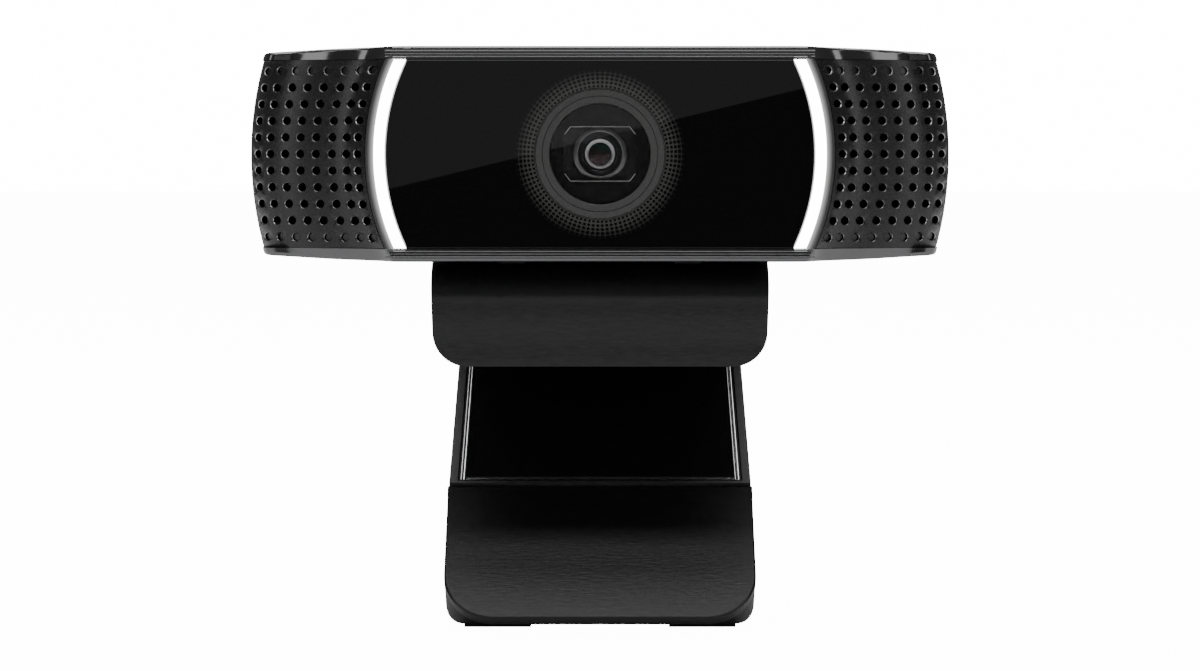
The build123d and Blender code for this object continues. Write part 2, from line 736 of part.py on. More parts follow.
def friction_clip(y, z, inner, outer, half_width):
    """Draw a split sleeve that grips an axle, as the part being built."""
    with BuildSketch(side_plane) as ring:
        with Locations((y, z)):
            Circle(outer)
            Circle(inner, mode=Mode.SUBTRACT)
        with Locations((y, z - outer)):
            Rectangle(0.5, 2 * outer, mode=Mode.SUBTRACT)
    extrude(ring.sketch, amount=half_width, both=True)


with BuildPart() as tilt_friction_clip:
    friction_clip(tilt_y, tilt_z, tilt_bore, tilt_clip_radius, tilt_clip_half)
write(tilt_friction_clip, "tilt_friction_clip")

with BuildPart() as leg_friction_clip:
    friction_clip(leg_hinge_y, leg_hinge_z, leg_bore, leg_clip_radius, leg_clip_half)
write(leg_friction_clip, "leg_friction_clip")

# =================================================================================================
# Leg: a shallow tray with rails, a glossy panel and bright trim lines
# =================================================================================================
leg_back = -leg_drop - leg_thickness
leg_face_plane = Plane(origin=(0, leg_hinge_y, leg_hinge_z), x_dir=(1, 0, 0),
                       z_dir=(0, leg_out[2], -leg_out[1])).offset(-leg_drop)
foot_axis_depth = -leg_drop - foot_axis_drop
panel_depth = 0.5
panel_top = 6.0  # where the panel starts, along the leg
panel_end = 41.3
panel_half = 18.6
trim_inner = 18.7
trim_outer = 19.4
recess_half = 19.8
leg_end = leg_length + 0.1
neck_top = foot_axis_depth + foot_knuckle_radius - 0.1  # what joins the leg to its knuckle
neck_low = foot_axis_depth - 1.0


def leg_area(start, end, outer, inner=None):
    """Draw a flaring strip on the leg's face, from x = inner (or both sides) to x = outer."""
    start_loss = leg_flare * (panel_end - start)
    end_loss = leg_flare * (panel_end - end)
    side = 1 if outer > 0 else -1
    if inner is None:
        starts = (-outer + start_loss, outer - start_loss)
        ends = (-outer + end_loss, outer - end_loss)
    else:
        starts = (inner - side * start_loss, outer - side * start_loss)
        ends = (inner - side * end_loss, outer - side * end_loss)
    with BuildLine(Plane.XY) as outline:
        Polyline(
            (starts[0], -start), (starts[1], -start), (ends[1], -end), (ends[0], -end),
            (starts[0], -start),
        )
    make_face(outline.edges())


with BuildPart() as leg_frame:
    with BuildSketch(leg_side):
        with BuildLine():
            Polyline(
                (0, -leg_barrel_radius + 0.1), (3.2, leg_back), (leg_end, leg_back),
                (leg_end, -leg_drop), (3.9, -leg_drop), (0, 0), (0, -leg_barrel_radius + 0.1),
            )
        make_face()
        Circle(leg_barrel_radius)
    extrude(amount=leg_half_width + 1, both=True)
    with BuildSketch(leg_face_plane.offset(12)):
        leg_area(-12, leg_length + 4, leg_half_width)
    extrude(amount=-30, mode=Mode.INTERSECT)
    # room for the arm's knuckle, then the end that laps over the foot hinge
    with BuildSketch(leg_side):
        Circle(leg_barrel_radius + knuckle_gap)
    extrude(amount=arm_knuckle_half + knuckle_gap, both=True, mode=Mode.SUBTRACT)
    with BuildSketch(leg_side):
        with Locations((leg_length, foot_axis_depth)):
            Circle(foot_knuckle_radius + knuckle_relief)
        with BuildLine():
            Polyline(
                (leg_length, foot_axis_depth + foot_knuckle_radius + knuckle_relief),
                (leg_end + 1, foot_axis_depth + foot_knuckle_radius + knuckle_relief),
                (leg_end + 1, leg_back - 1), (leg_length - 4.9, leg_back - 1),
                (leg_length - 2.4, foot_axis_depth + 0.4),
                (leg_length, foot_axis_depth + foot_knuckle_radius + knuckle_relief),
            )
        make_face()
    extrude(amount=leg_half_width + 1, both=True, mode=Mode.SUBTRACT)
    with BuildSketch(leg_side):
        with Locations((leg_length, foot_axis_depth)):
            Circle(foot_knuckle_radius)
        with BuildLine():
            Polyline(
                (leg_length - 0.5, neck_top), (leg_length - 5, neck_top), (leg_length - 5, neck_low),
                (leg_length - 3.4, neck_low), (leg_length - 2.4, foot_axis_depth + 0.4),
                (leg_length - 0.5, foot_axis_depth + 0.4), (leg_length - 0.5, neck_top),
            )
        make_face()
    extrude(amount=knuckle_half_width, both=True)
    # hollow under the panel, the panel's own recess, and the dark gap beside the trims
    with BuildSketch(leg_face_plane):
        leg_area(9, 20.4, 17)
        leg_area(22, 35.5, 17)
    extrude(amount=-4.2, mode=Mode.SUBTRACT)
    with BuildSketch(leg_face_plane):
        leg_area(panel_top - 0.1, panel_end + 0.75, recess_half)
    extrude(amount=-panel_depth, mode=Mode.SUBTRACT)
    hinge_bar(leg_hinge_y, leg_hinge_z, leg_axle_radius, 0, leg_axle_half + 0.2, Mode.SUBTRACT)
    hinge_bar(foot_y, foot_z, foot_bore, 0, foot_axle_half + 0.2, Mode.SUBTRACT)
    hinge_bar(foot_y, foot_z, foot_clip_radius + 0.03, 0, foot_clip_half + 0.1, Mode.SUBTRACT)
write(leg_frame, "leg_frame")

with BuildPart() as leg_panel:
    with BuildSketch(leg_face_plane):
        leg_area(panel_top, panel_end, panel_half)
    extrude(amount=-panel_depth)
    chamfer(leg_panel.edges().group_by(Axis(leg_face_plane.origin, leg_face_plane.z_dir))[-1], 0.1)
write(leg_panel, "leg_panel")

for side, sign in (("left", -1), ("right", 1)):
    with BuildPart() as leg_trim:
        with BuildSketch(leg_face_plane):
            leg_area(panel_top, panel_end + 0.55, sign * trim_outer, sign * trim_inner)
        extrude(amount=-panel_depth)
        extrude(leg_trim.faces().sort_by(Axis(leg_face_plane.origin, leg_face_plane.z_dir))[-1],
                amount=0.08)
    write(leg_trim, f"leg_trim_{side}")

with BuildPart() as leg_trim_bottom:
    with BuildSketch(leg_face_plane):
        leg_area(panel_end + 0.1, panel_end + 0.5, panel_half)
    extrude(amount=-panel_depth)
write(leg_trim_bottom, "leg_trim_bottom")

with BuildPart() as leg_axle:
    hinge_bar(leg_hinge_y, leg_hinge_z, leg_axle_radius, 0, leg_axle_half)
write(leg_axle, "leg_axle")

with BuildPart() as foot_friction_clip:
    friction_clip(foot_y, foot_z, foot_bore, foot_clip_radius, foot_clip_half)
write(foot_friction_clip, "foot_friction_clip")

# =================================================================================================
# Foot: a plate with a rubber pad in front, a threaded socket behind and two rubber bumpers
# =================================================================================================
pad_back = 1.6
foot_back = -2.9
socket_along = 11.0
socket_depth = 4.2
insert_radius = 4.2
bumper_spot = (18.45, -1.2)  # along the foot, and off its axis line
bumper_radius = 1.2
bumper_start = 9.4
bumper_length = 9.1
pad_top_half = 21.1
pad_half_width = 21.4
pad_top = 0.3
pad_bottom = -21.2

with BuildPart() as foot_frame:
    with BuildSketch(foot_side):
        with BuildLine():
            FilletPolyline(
                (0, -foot_knuckle_radius), (3.4, foot_back), (foot_length, foot_back),
                (foot_length, pad_back), radius=(1.0, 3.4),
            )
            Polyline((foot_length, pad_back), (0, pad_back), (0, -foot_knuckle_radius))
        make_face()
        Circle(foot_knuckle_radius)
    extrude(amount=foot_half_width, both=True)
    with BuildSketch(foot_side):
        Circle(foot_knuckle_radius + knuckle_relief)
    extrude(amount=knuckle_half_width + 0.3, both=True, mode=Mode.SUBTRACT)
    with BuildSketch(foot_plan.offset(pad_back + 1)):
        with BuildLine():
            FilletPolyline(
                (-foot_half_width, 4), (-foot_half_width, -foot_length),
                (foot_half_width, -foot_length), (foot_half_width, 4), radius=5.0,
            )
            Line((foot_half_width, 4), (-foot_half_width, 4))
        make_face()
    extrude(amount=-8, mode=Mode.INTERSECT)
    with BuildSketch(foot_plan.offset(foot_back - 1)):
        with Locations((0, -socket_along)):
            Circle(insert_radius)
    extrude(amount=1 + socket_depth, mode=Mode.SUBTRACT)
    for sign in (1, -1):
        with BuildSketch(side_plane.offset(sign * bumper_start)):
            with Locations(tuple(foot_side.from_local_coords((*bumper_spot, 0)))[1:]):
                Circle(bumper_radius)
        extrude(amount=sign * bumper_length, mode=Mode.SUBTRACT)
    hinge_bar(foot_y, foot_z, foot_axle_radius, 0, foot_axle_half + 0.2, Mode.SUBTRACT)
write(foot_frame, "foot_frame")

with BuildPart() as foot_pad:
    with BuildSketch(foot_plan.offset(foot_axis_drop)):
        with BuildLine():
            FilletPolyline(
                (-pad_top_half, pad_top), (-pad_half_width, pad_bottom),
                (pad_half_width, pad_bottom), (pad_top_half, pad_top), radius=7.0,
            )
            Line((pad_top_half, pad_top), (-pad_top_half, pad_top))
        make_face()
    extrude(amount=-(foot_axis_drop - pad_back))
    pad_face = foot_pad.faces().sort_by(Axis(foot_hinge, foot_face))[-1]
    chamfer(pad_face.edges(), 0.25)
    with BuildSketch(foot_side):
        Circle(foot_knuckle_radius + knuckle_relief)
    extrude(amount=foot_half_width + 1, both=True, mode=Mode.SUBTRACT)
write(foot_pad, "foot_pad")

with BuildPart() as thread_insert:
    with BuildSketch(foot_plan.offset(foot_back)):
        with Locations((0, -socket_along)):
            Circle(insert_radius)
            Circle(tripod_thread_minor, mode=Mode.SUBTRACT)
    extrude(amount=socket_depth)
write(thread_insert, "thread_insert")

with BuildPart() as foot_bumpers:
    for sign in (1, -1):
        with BuildSketch(side_plane.offset(sign * bumper_start)):
            with Locations(tuple(foot_side.from_local_coords((*bumper_spot, 0)))[1:]):
                Circle(bumper_radius)
        extrude(amount=sign * bumper_length)
write(foot_bumpers, "foot_bumpers")

with BuildPart() as foot_axle:
    hinge_bar(foot_y, foot_z, foot_axle_radius, 0, foot_axle_half)
write(foot_axle, "foot_axle")
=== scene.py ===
"""Looks of a clip-on webcam: perforated wings, glossy window, lens, light strips, arm, leg and foot."""

import json
import math

import bpy
import numpy as np
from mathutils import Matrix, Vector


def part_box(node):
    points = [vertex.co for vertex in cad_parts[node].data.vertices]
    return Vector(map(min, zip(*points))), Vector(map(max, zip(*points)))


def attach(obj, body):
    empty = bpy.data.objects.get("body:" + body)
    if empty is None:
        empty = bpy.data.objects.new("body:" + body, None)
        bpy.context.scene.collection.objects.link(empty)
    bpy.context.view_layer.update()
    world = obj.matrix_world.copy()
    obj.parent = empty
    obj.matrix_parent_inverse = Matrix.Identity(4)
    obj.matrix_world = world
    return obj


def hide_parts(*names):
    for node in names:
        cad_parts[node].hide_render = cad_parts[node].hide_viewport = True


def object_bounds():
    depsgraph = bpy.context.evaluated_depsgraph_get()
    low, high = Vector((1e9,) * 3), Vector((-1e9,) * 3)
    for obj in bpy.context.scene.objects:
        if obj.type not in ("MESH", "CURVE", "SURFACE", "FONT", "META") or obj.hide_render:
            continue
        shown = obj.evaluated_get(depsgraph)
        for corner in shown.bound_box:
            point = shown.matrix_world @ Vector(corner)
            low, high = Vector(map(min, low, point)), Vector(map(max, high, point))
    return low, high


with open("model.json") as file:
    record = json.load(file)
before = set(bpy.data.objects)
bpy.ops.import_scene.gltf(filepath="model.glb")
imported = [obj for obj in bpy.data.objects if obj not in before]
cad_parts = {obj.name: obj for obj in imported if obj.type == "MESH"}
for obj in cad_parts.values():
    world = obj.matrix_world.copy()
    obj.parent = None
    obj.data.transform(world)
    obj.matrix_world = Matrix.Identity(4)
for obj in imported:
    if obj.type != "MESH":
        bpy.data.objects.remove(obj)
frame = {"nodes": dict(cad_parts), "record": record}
CAD_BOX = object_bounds()

bl_info = {
    "name": "Webcam looks",
    "version": (1, 0, 0),
    "blender": (4, 5, 0),
    "location": "View3D > Sidebar > Webcam",
    "description": "Builds the visible pieces and finishes of a clip-on webcam around its CAD frame",
    "category": "Object",
}

MM = 0.001
WINDOW_LOW, WINDOW_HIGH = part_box("front_window")
WINDOW_Y = WINDOW_LOW[1]
LENS_Z = (WINDOW_LOW[2] + WINDOW_HIGH[2]) / 2
GRILLE_LOW, GRILLE_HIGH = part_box("grille_right")
NODES = frame["nodes"]
LEG_SLOPE = math.radians(33)
# Where the light strip's painted glow on the rim starts to fade
STRIP_GLOW_START = 30.1  # millimetres from the lens axis, just inside the rim beside a light strip
PRINT_EDGE = 8.75  # millimetres from the lens axis to the printed lattice's inner edge
SMOOTH_BELOW = math.radians(35)


# ---- sizes and colours that a user would change --------------------------------------------------
class WebcamSizes(bpy.types.PropertyGroup):
    row_pitch: bpy.props.FloatProperty(
        name="Row pitch", description="Distance between the rows of holes",
        default=2.24 * MM, unit="LENGTH", precision=5)
    hole_radius: bpy.props.FloatProperty(
        name="Hole radius", description="Radius of a hole inside its bevelled rim",
        default=0.53 * MM, unit="LENGTH", precision=5)
    rim_radius: bpy.props.FloatProperty(
        name="Rim radius", description="Outer radius of a hole's bevelled rim",
        default=0.66 * MM, unit="LENGTH", precision=5)
    grille_wall: bpy.props.FloatProperty(
        name="Grille wall", description="Thickness of the perforated wings",
        default=1.0 * MM, unit="LENGTH", precision=5)
    dot_count: bpy.props.IntProperty(
        name="Dots per ring", description="Printed dots in each ring round the lens", default=100)


class WebcamColours(bpy.types.PropertyGroup):
    body: bpy.props.FloatVectorProperty(
        name="Body", description="Dark plastic of the arm, leg and foot",
        default=(0.0105, 0.0105, 0.011), subtype="COLOR")
    grille: bpy.props.FloatVectorProperty(
        name="Wings", description="Paint of the perforated wings",
        default=(0.0018, 0.0018, 0.0019), subtype="COLOR")
    window: bpy.props.FloatVectorProperty(
        name="Window", description="Black behind the glossy window",
        default=(0.0012, 0.0012, 0.0012), subtype="COLOR")
    light: bpy.props.FloatVectorProperty(
        name="Lights", description="Colour of the lit light strips",
        default=(1.0, 1.0, 1.0), subtype="COLOR")
    trim: bpy.props.FloatVectorProperty(
        name="Trim", description="Polished trim lines of the leg",
        default=(0.85, 0.85, 0.86), subtype="COLOR")


# ---- mesh helpers --------------------------------------------------------------------------------
def new_piece(name, vertices, faces, material, smooth=True):
    """Make a mesh object from metres in the row frame, with outward normals."""
    mesh = bpy.data.meshes.new(name)
    mesh.from_pydata(vertices, [], faces)
    mesh.validate()
    piece = bpy.data.objects.new(name, mesh)
    bpy.context.scene.collection.objects.link(piece)
    mesh.materials.append(material)
    bpy.ops.object.select_all(action="DESELECT")
    bpy.context.view_layer.objects.active = piece
    piece.select_set(True)
    bpy.ops.object.mode_set(mode="EDIT")
    bpy.ops.mesh.select_all(action="SELECT")
    bpy.ops.mesh.normals_make_consistent(inside=False)
    bpy.ops.object.mode_set(mode="OBJECT")
    if smooth:
        bpy.ops.object.shade_smooth_by_angle(angle=SMOOTH_BELOW)
    return piece


def bands(start, count, rows, closed=False):
    """Quads between rows of count vertices each, from vertex start on; closed joins last to first."""
    faces = []
    for row in range(rows if closed else rows - 1):
        here = start + row * count
        there = start + (row + 1) % rows * count
        for point in range(count):
            after = (point + 1) % count
            faces.append((here + point, here + after, there + after, there + point))
    return faces


def lathe(name, profile, material, segments=160):
    """Turn a closed profile of (radius, depth) points, in millimetres, about the lens axis."""
    vertices = []
    for step in range(segments):
        angle = 2 * math.pi * step / segments
        for radius, depth in profile:
            vertices.append((
                radius * MM * math.cos(angle), WINDOW_Y + depth * MM,
                LENS_Z + radius * MM * math.sin(angle),
            ))
    return new_piece(name, vertices, bands(0, len(profile), segments, closed=True), material)


def ground_ring(inner, outer, depth, land, ends):
    """Points of a ring's face between two radii, with the fine grooves that (radius, width) name."""
    points = [(inner, depth + land), (inner, depth + 0.16), (inner + 0.12, depth)]
    for radius, width in ends:
        points += [(radius - width, depth), (radius, depth + 0.10), (radius + width, depth)]
    return points + [(outer, depth), (outer, depth + land)]


def bar_along_x(name, sections, x_from, x_to, material):
    """Run closed (depth, height) sections, in millimetres about the lens, along X as bars."""
    vertices = []
    faces = []
    for section in sections:
        start = len(vertices)
        count = len(section)
        for x in (x_from, x_to):
            for depth, height in section:
                vertices.append((x * MM, WINDOW_Y + depth * MM, LENS_Z + height * MM))
        faces += bands(start, count, 2)
        faces.append(tuple(start + point for point in range(count)))
        faces.append(tuple(start + count + point for point in range(count)))
    return new_piece(name, vertices, faces, material)


def strip_rim(name, profile, side):
    """Sweep a (radius, depth) profile along the light strip, between the frame's bands."""
    half = 12.66
    steps = 48
    vertices = []
    count = len(profile)
    for step in range(steps + 1):
        for radius, depth in profile:
            turn = math.asin(half / radius) * (2 * step / steps - 1)
            vertices.append((
                side * radius * MM * math.cos(turn), WINDOW_Y + depth * MM,
                LENS_Z + radius * MM * math.sin(turn),
            ))
    faces = bands(0, count, steps + 1)
    faces.append(tuple(range(count)))
    faces.append(tuple(steps * count + point for point in range(count)))
    # rim_paint carries the painted glow of the light strip on this rim
    return new_piece(name, vertices, faces, FINISHES["rim_paint"])


# ---- the wings' curve and their perforated mesh --------------------------------------------------
WING_POINTS = np.array([(31.3, 0.6), (34.0, 4.15), (38.6, 5.85), (44.0, 8.1), (47.75, 14.5)])
WING_ENDS = np.array([(1.0, 2.2), (0.0, 1.0)])


def wing_curve(samples=400):
    """Sample the smooth curve through the wing's points as radii and depths."""
    chords = np.linalg.norm(np.diff(WING_POINTS, axis=0), axis=1)
    knots = np.concatenate([[0], np.cumsum(chords)])
    count = len(knots)
    system = np.zeros((count, count))
    target = np.zeros((count, 2))
    system[0, 0] = system[-1, -1] = 1
    target[0] = WING_ENDS[0] / np.linalg.norm(WING_ENDS[0])
    target[-1] = WING_ENDS[1]
    for row in range(1, count - 1):
        before, after = chords[row - 1], chords[row]
        system[row, row - 1:row + 2] = (after, 2 * (before + after), before)
        rise = (WING_POINTS[row] - WING_POINTS[row - 1]) / before * after
        target[row] = 3 * (rise + (WING_POINTS[row + 1] - WING_POINTS[row]) / after * before)
    slopes = np.linalg.solve(system, target)
    curve = []
    for value in np.linspace(0, knots[-1], samples):
        piece = min(np.searchsorted(knots, value, side="right") - 1, count - 2)
        span = chords[piece]
        share = (value - knots[piece]) / span
        curve.append(
            (2 * share**3 - 3 * share**2 + 1) * WING_POINTS[piece]
            + (share**3 - 2 * share**2 + share) * span * slopes[piece]
            + (3 * share**2 - 2 * share**3) * WING_POINTS[piece + 1]
            + (share**3 - share**2) * span * slopes[piece + 1]
        )
    curve = np.array(curve)
    return curve[:, 0], curve[:, 1]


class WingMesh:
    """One perforated wing. Points are (radius, height, sink): distance from the lens axis, height
    above it, and how far through the wall, in millimetres. Cells share their border points."""

    BACK_SHIFT = (-0.55, 1.0)  # where the wall's back lies from its front: radius and depth
    INSET = (-0.08, 0.12)  # where the wing's front lies from the frame's surface
    BEVEL_SINK, MOUTH_SINK = 0.05, 0.15  # how deep the bevel's middle and its inner end lie
    FLOOR_SINK, FLOOR_MIDDLE = 0.40, 0.43  # how deep a dimple's floor lies at its edge and middle

    def __init__(self, side, wall):
        self.side = side
        self.wall = wall
        self.vertices = []
        self.faces = []
        self.bevels = []
        self.shared = {}
        self.radii, self.depths = wing_curve()

    def add(self, radius, height, sink):
        """Index of the vertex there, made once."""
        key = (round(radius, 4), round(height, 4), round(sink, 4))
        if key not in self.shared:
            self.shared[key] = len(self.vertices)
            depth = np.interp(radius, self.radii, self.depths) + self.INSET[1]
            moved = radius + self.INSET[0] + self.BACK_SHIFT[0] * sink
            across = self.side * math.sqrt(max(moved**2 - height**2, 0))
            self.vertices.append((
                across * MM, WINDOW_Y + (depth + self.BACK_SHIFT[1] * sink) * MM, LENS_Z + height * MM,
            ))
        return self.shared[key]

    def strip(self, first, second, bevel=False):
        """Join two closed rings of the same length."""
        for index in range(len(first)):
            after = (index + 1) % len(first)
            if bevel:
                self.bevels.append(len(self.faces))
            self.faces.append((first[index], first[after], second[after], second[index]))

    def ring(self, centre, radius, sink, count):
        """A ring of vertices that looks round from the front, from the cell's lower corner on."""
        middle = math.sqrt(centre[0] ** 2 - centre[1] ** 2)
        ring = []
        for step in range(count):
            angle = 2 * math.pi * step / count - 0.75 * math.pi
            across = middle + radius * math.cos(angle)
            height = centre[1] + radius * math.sin(angle)
            ring.append(self.add(min(math.hypot(across, height), self.radii[-1]), height, sink))
        return ring

    def border(self, lower, upper, sink, share):
        """The cell's border vertices, anticlockwise from its lower corner."""
        (left, bottom), (right, top) = lower, upper
        spots = [(left + (right - left) * part / share, bottom) for part in range(share)]
        spots += [(right, bottom + (top - bottom) * part / share) for part in range(share)]
        spots += [(right - (right - left) * part / share, top) for part in range(share)]
        spots += [(left, top - (top - bottom) * part / share) for part in range(share)]
        return [self.add(radius, height, sink) for radius, height in spots]

    def hole(self, lower, upper, centre, rim, hole, share, blind):
        """One cell with a bevelled hole round its centre, or a dimple where blind."""
        count = 4 * share
        face = self.border(lower, upper, 0, share)
        edge = self.ring(centre, rim, 0.0, count)
        bevel = self.ring(centre, (rim + hole) / 2, self.BEVEL_SINK, count)
        mouth = self.ring(centre, hole, self.MOUTH_SINK, count)
        self.strip(face, edge)
        self.strip(edge, bevel)
        self.strip(bevel, mouth, bevel=True)
        back = self.border(lower, upper, self.wall, share)
        if blind:
            floor = self.ring(centre, hole * 0.9, self.FLOOR_SINK, count)
            self.strip(mouth, floor)
            middle = self.add(*centre, self.FLOOR_MIDDLE)
            for index in range(count):
                self.faces.append((floor[index], floor[(index + 1) % count], middle))
            middle = self.add(*centre, self.wall)
            for index in range(count):
                self.faces.append((back[index], back[(index + 1) % count], middle))
        else:
            exit_ring = self.ring(centre, hole, self.wall, count)
            self.strip(mouth, exit_ring)
            self.strip(exit_ring, back)

    def plain(self, lower, upper, parts):
        """A cell with no hole, cut into parts along each way, in front and at the back."""
        radii = np.linspace(lower[0], upper[0], parts[0] + 1)
        heights = np.linspace(lower[1], upper[1], parts[1] + 1)
        corners = ((0, 0), (1, 0), (1, 1), (0, 1))
        for sink in (0, self.wall):
            for column in range(parts[0]):
                for row in range(parts[1]):
                    self.faces.append(tuple(
                        self.add(radii[column + a], heights[row + b], sink) for a, b in corners
                    ))

    def edge_wall(self, spots):
        """Join the front and the back along one side of the wing."""
        front = [self.add(radius, height, 0) for radius, height in spots]
        back = [self.add(radius, height, self.wall) for radius, height in spots]
        for index in range(len(spots) - 1):
            self.faces.append((front[index], front[index + 1], back[index + 1], back[index]))


# Millimetres from the lens axis to each curved column of holes
COLUMN_RADII = (32.6, 34.2, 36.2, 38.4, 40.55, 42.65, 44.75, 46.6)


def perforated_wing(name, side, sizes, material):
    """Build one wing with its rows of bevelled holes; the top and bottom rows are dimples."""
    row_pitch = sizes.row_pitch / MM
    share = 6
    rows = 11
    half = (GRILLE_HIGH[2] - GRILLE_LOW[2]) / 2 / MM
    mesh = WingMesh(side, sizes.grille_wall / MM)
    inner_edge = 31.5
    outer_edge = 47.72
    plain_inside, plain_outside = 0.78, 0.02
    least_gap, least_bevel = 0.03, 0.1
    middles = [(a + b) / 2 for a, b in zip(COLUMN_RADII, COLUMN_RADII[1:])]
    borders = [COLUMN_RADII[0] - plain_inside, *middles, outer_edge - plain_outside]
    low = -rows / 2 * row_pitch
    row_edges = [low + row * row_pitch for row in range(rows + 1)]
    for column, radius in enumerate(COLUMN_RADII):
        left, right = borders[column], borders[column + 1]
        reach = min(radius - left, right - radius, row_pitch / 2) - least_gap
        rim = min(sizes.rim_radius / MM, reach)
        hole = min(sizes.hole_radius / MM, rim - least_bevel)
        for row in range(rows):
            bottom, top = row_edges[row], row_edges[row + 1]
            mesh.hole(
                (left, bottom), (right, top), (radius, (bottom + top) / 2), rim, hole, share,
                row in (0, rows - 1),
            )
    radii = [inner_edge]
    for left, right in zip(borders, borders[1:]):
        radii += [left + (right - left) * part / share for part in range(share)]
    radii += [borders[-1], outer_edge]
    for bottom, top in ((-half, low), (-low, half)):
        for left, right in zip(radii, radii[1:]):
            mesh.plain((left, bottom), (right, top), (1, 1))
    for left, right in ((inner_edge, borders[0]), (borders[-1], outer_edge)):
        for bottom, top in zip(row_edges, row_edges[1:]):
            mesh.plain((left, bottom), (right, top), (1, share))
    heights = [-half]
    for bottom in row_edges[:-1]:
        heights += [bottom + row_pitch * part / share for part in range(share)]
    heights += [-low, half]
    mesh.edge_wall([(radius, -half) for radius in radii])
    mesh.edge_wall([(radius, half) for radius in radii])
    mesh.edge_wall([(inner_edge, height) for height in heights])
    mesh.edge_wall([(outer_edge, height) for height in heights])
    wing = new_piece(name, mesh.vertices, mesh.faces, material)
    # Painted highlight: the hole bevels of the black painted wing get a bright polished metal finish so
    # their rims show bright crescents
    wing.data.materials.append(FINISHES["hole_rim_highlight"])
    if len(wing.data.polygons) != len(mesh.faces):
        raise ValueError(f"{name} lost faces: {len(wing.data.polygons)} of {len(mesh.faces)}")
    for index in mesh.bevels:
        wing.data.polygons[index].material_index = 1
    return wing


# ---- material helpers ----------------------------------------------------------------------------
class Finish:
    """A material being built round one Principled shader."""

    def __init__(self, name, colour, roughness, metallic=0.0):
        self.material = bpy.data.materials.new(name)
        self.material.use_nodes = True
        self.nodes = self.material.node_tree.nodes
        self.links = self.material.node_tree.links
        self.shader = self.nodes["Principled BSDF"]
        self.shader.inputs["Base Color"].default_value = (*colour, 1)
        self.shader.inputs["Roughness"].default_value = roughness
        self.shader.inputs["Metallic"].default_value = metallic
        self.place = self.nodes.new("ShaderNodeTexCoord").outputs["Object"]

    def math(self, operation, first, second=0.0, third=0.0, clamp=False):
        """A math node's output; each input is a number or another output."""
        node = self.nodes.new("ShaderNodeMath")
        node.operation = operation
        node.use_clamp = clamp
        for socket, value in zip(node.inputs, (first, second, third)):
            if isinstance(value, (int, float)):
                socket.default_value = value
            else:
                self.links.new(value, socket)
        return node.outputs[0]

    def about_lens(self):
        """Outputs for the place across and above the lens axis, in millimetres."""
        split = self.nodes.new("ShaderNodeSeparateXYZ")
        self.links.new(self.place, split.inputs[0])
        across = self.math("DIVIDE", split.outputs["X"], MM)
        up = self.math("DIVIDE", self.math("SUBTRACT", split.outputs["Z"], LENS_Z), MM)
        return across, up

    def length(self, first, second):
        """The hypotenuse of a right triangle with these two sides."""
        squares = [self.math("MULTIPLY", side, side) for side in (first, second)]
        return self.math("SQRT", self.math("ADD", *squares))

    def noise(self, scale, detail=3.0, stretch=(1, 1, 1)):
        """Noise over the object, with features of about 1/scale metres."""
        mapping = self.nodes.new("ShaderNodeMapping")
        mapping.inputs["Scale"].default_value = stretch
        self.links.new(self.place, mapping.inputs["Vector"])
        node = self.nodes.new("ShaderNodeTexNoise")
        node.inputs["Scale"].default_value = scale
        node.inputs["Detail"].default_value = detail
        self.links.new(mapping.outputs[0], node.inputs["Vector"])
        return node.outputs["Fac"]

    def blend(self, amount, low, high):
        """A colour between two colours by an output from 0 to 1."""
        node = self.nodes.new("ShaderNodeMix")
        node.data_type = "RGBA"
        self.links.new(amount, node.inputs["Factor"])
        node.inputs["A"].default_value = (*low, 1)
        node.inputs["B"].default_value = (*high, 1)
        return node.outputs["Result"]

    def spread(self, value, low, high):
        """Stretch an output from about 0.3..0.7 to low..high."""
        node = self.nodes.new("ShaderNodeMapRange")
        node.inputs["From Min"].default_value = 0.3
        node.inputs["From Max"].default_value = 0.7
        node.inputs["To Min"].default_value = low
        node.inputs["To Max"].default_value = high
        self.links.new(value, node.inputs["Value"])
        return node.outputs[0]

    def colour_from(self, output):
        self.links.new(output, self.shader.inputs["Base Color"])

    def roughness_from(self, output):
        self.links.new(output, self.shader.inputs["Roughness"])

    def bump(self, height, distance):
        """Raise the surface by an output, with the height of its full range in metres."""
        node = self.nodes.new("ShaderNodeBump")
        node.inputs["Distance"].default_value = distance
        self.links.new(height, node.inputs["Height"])
        self.links.new(node.outputs["Normal"], self.shader.inputs["Normal"])


def grained(name, colour, roughness, grain=4200, depth=0.00002, lift=1.35, metallic=0.0):
    """A moulded or painted surface: fine grain in the bump, soft patches in colour and gloss."""
    finish = Finish(name, colour, roughness, metallic)
    fine = finish.noise(grain, 4.0)
    broad = finish.noise(90, 2.0)
    bright = tuple(min(channel * lift, 1.0) for channel in colour)
    finish.colour_from(finish.blend(finish.spread(fine, 0, 1), colour, bright))
    finish.roughness_from(finish.spread(broad, roughness * 0.92, min(roughness * 1.1, 1.0)))
    finish.bump(fine, depth)
    return finish.material


def polished(name, colour, roughness, metallic=1.0, stretch=(1, 1, 1), grain=2500):
    """Turned or drawn metal: faint directional lines in the gloss."""
    finish = Finish(name, colour, roughness, metallic)
    lines = finish.noise(grain, 3.0, stretch)
    finish.roughness_from(finish.spread(lines, roughness * 0.8, roughness * 1.3))
    finish.colour_from(finish.blend(lines, tuple(0.9 * channel for channel in colour), colour))
    finish.bump(lines, 0.010 / grain)
    return finish.material


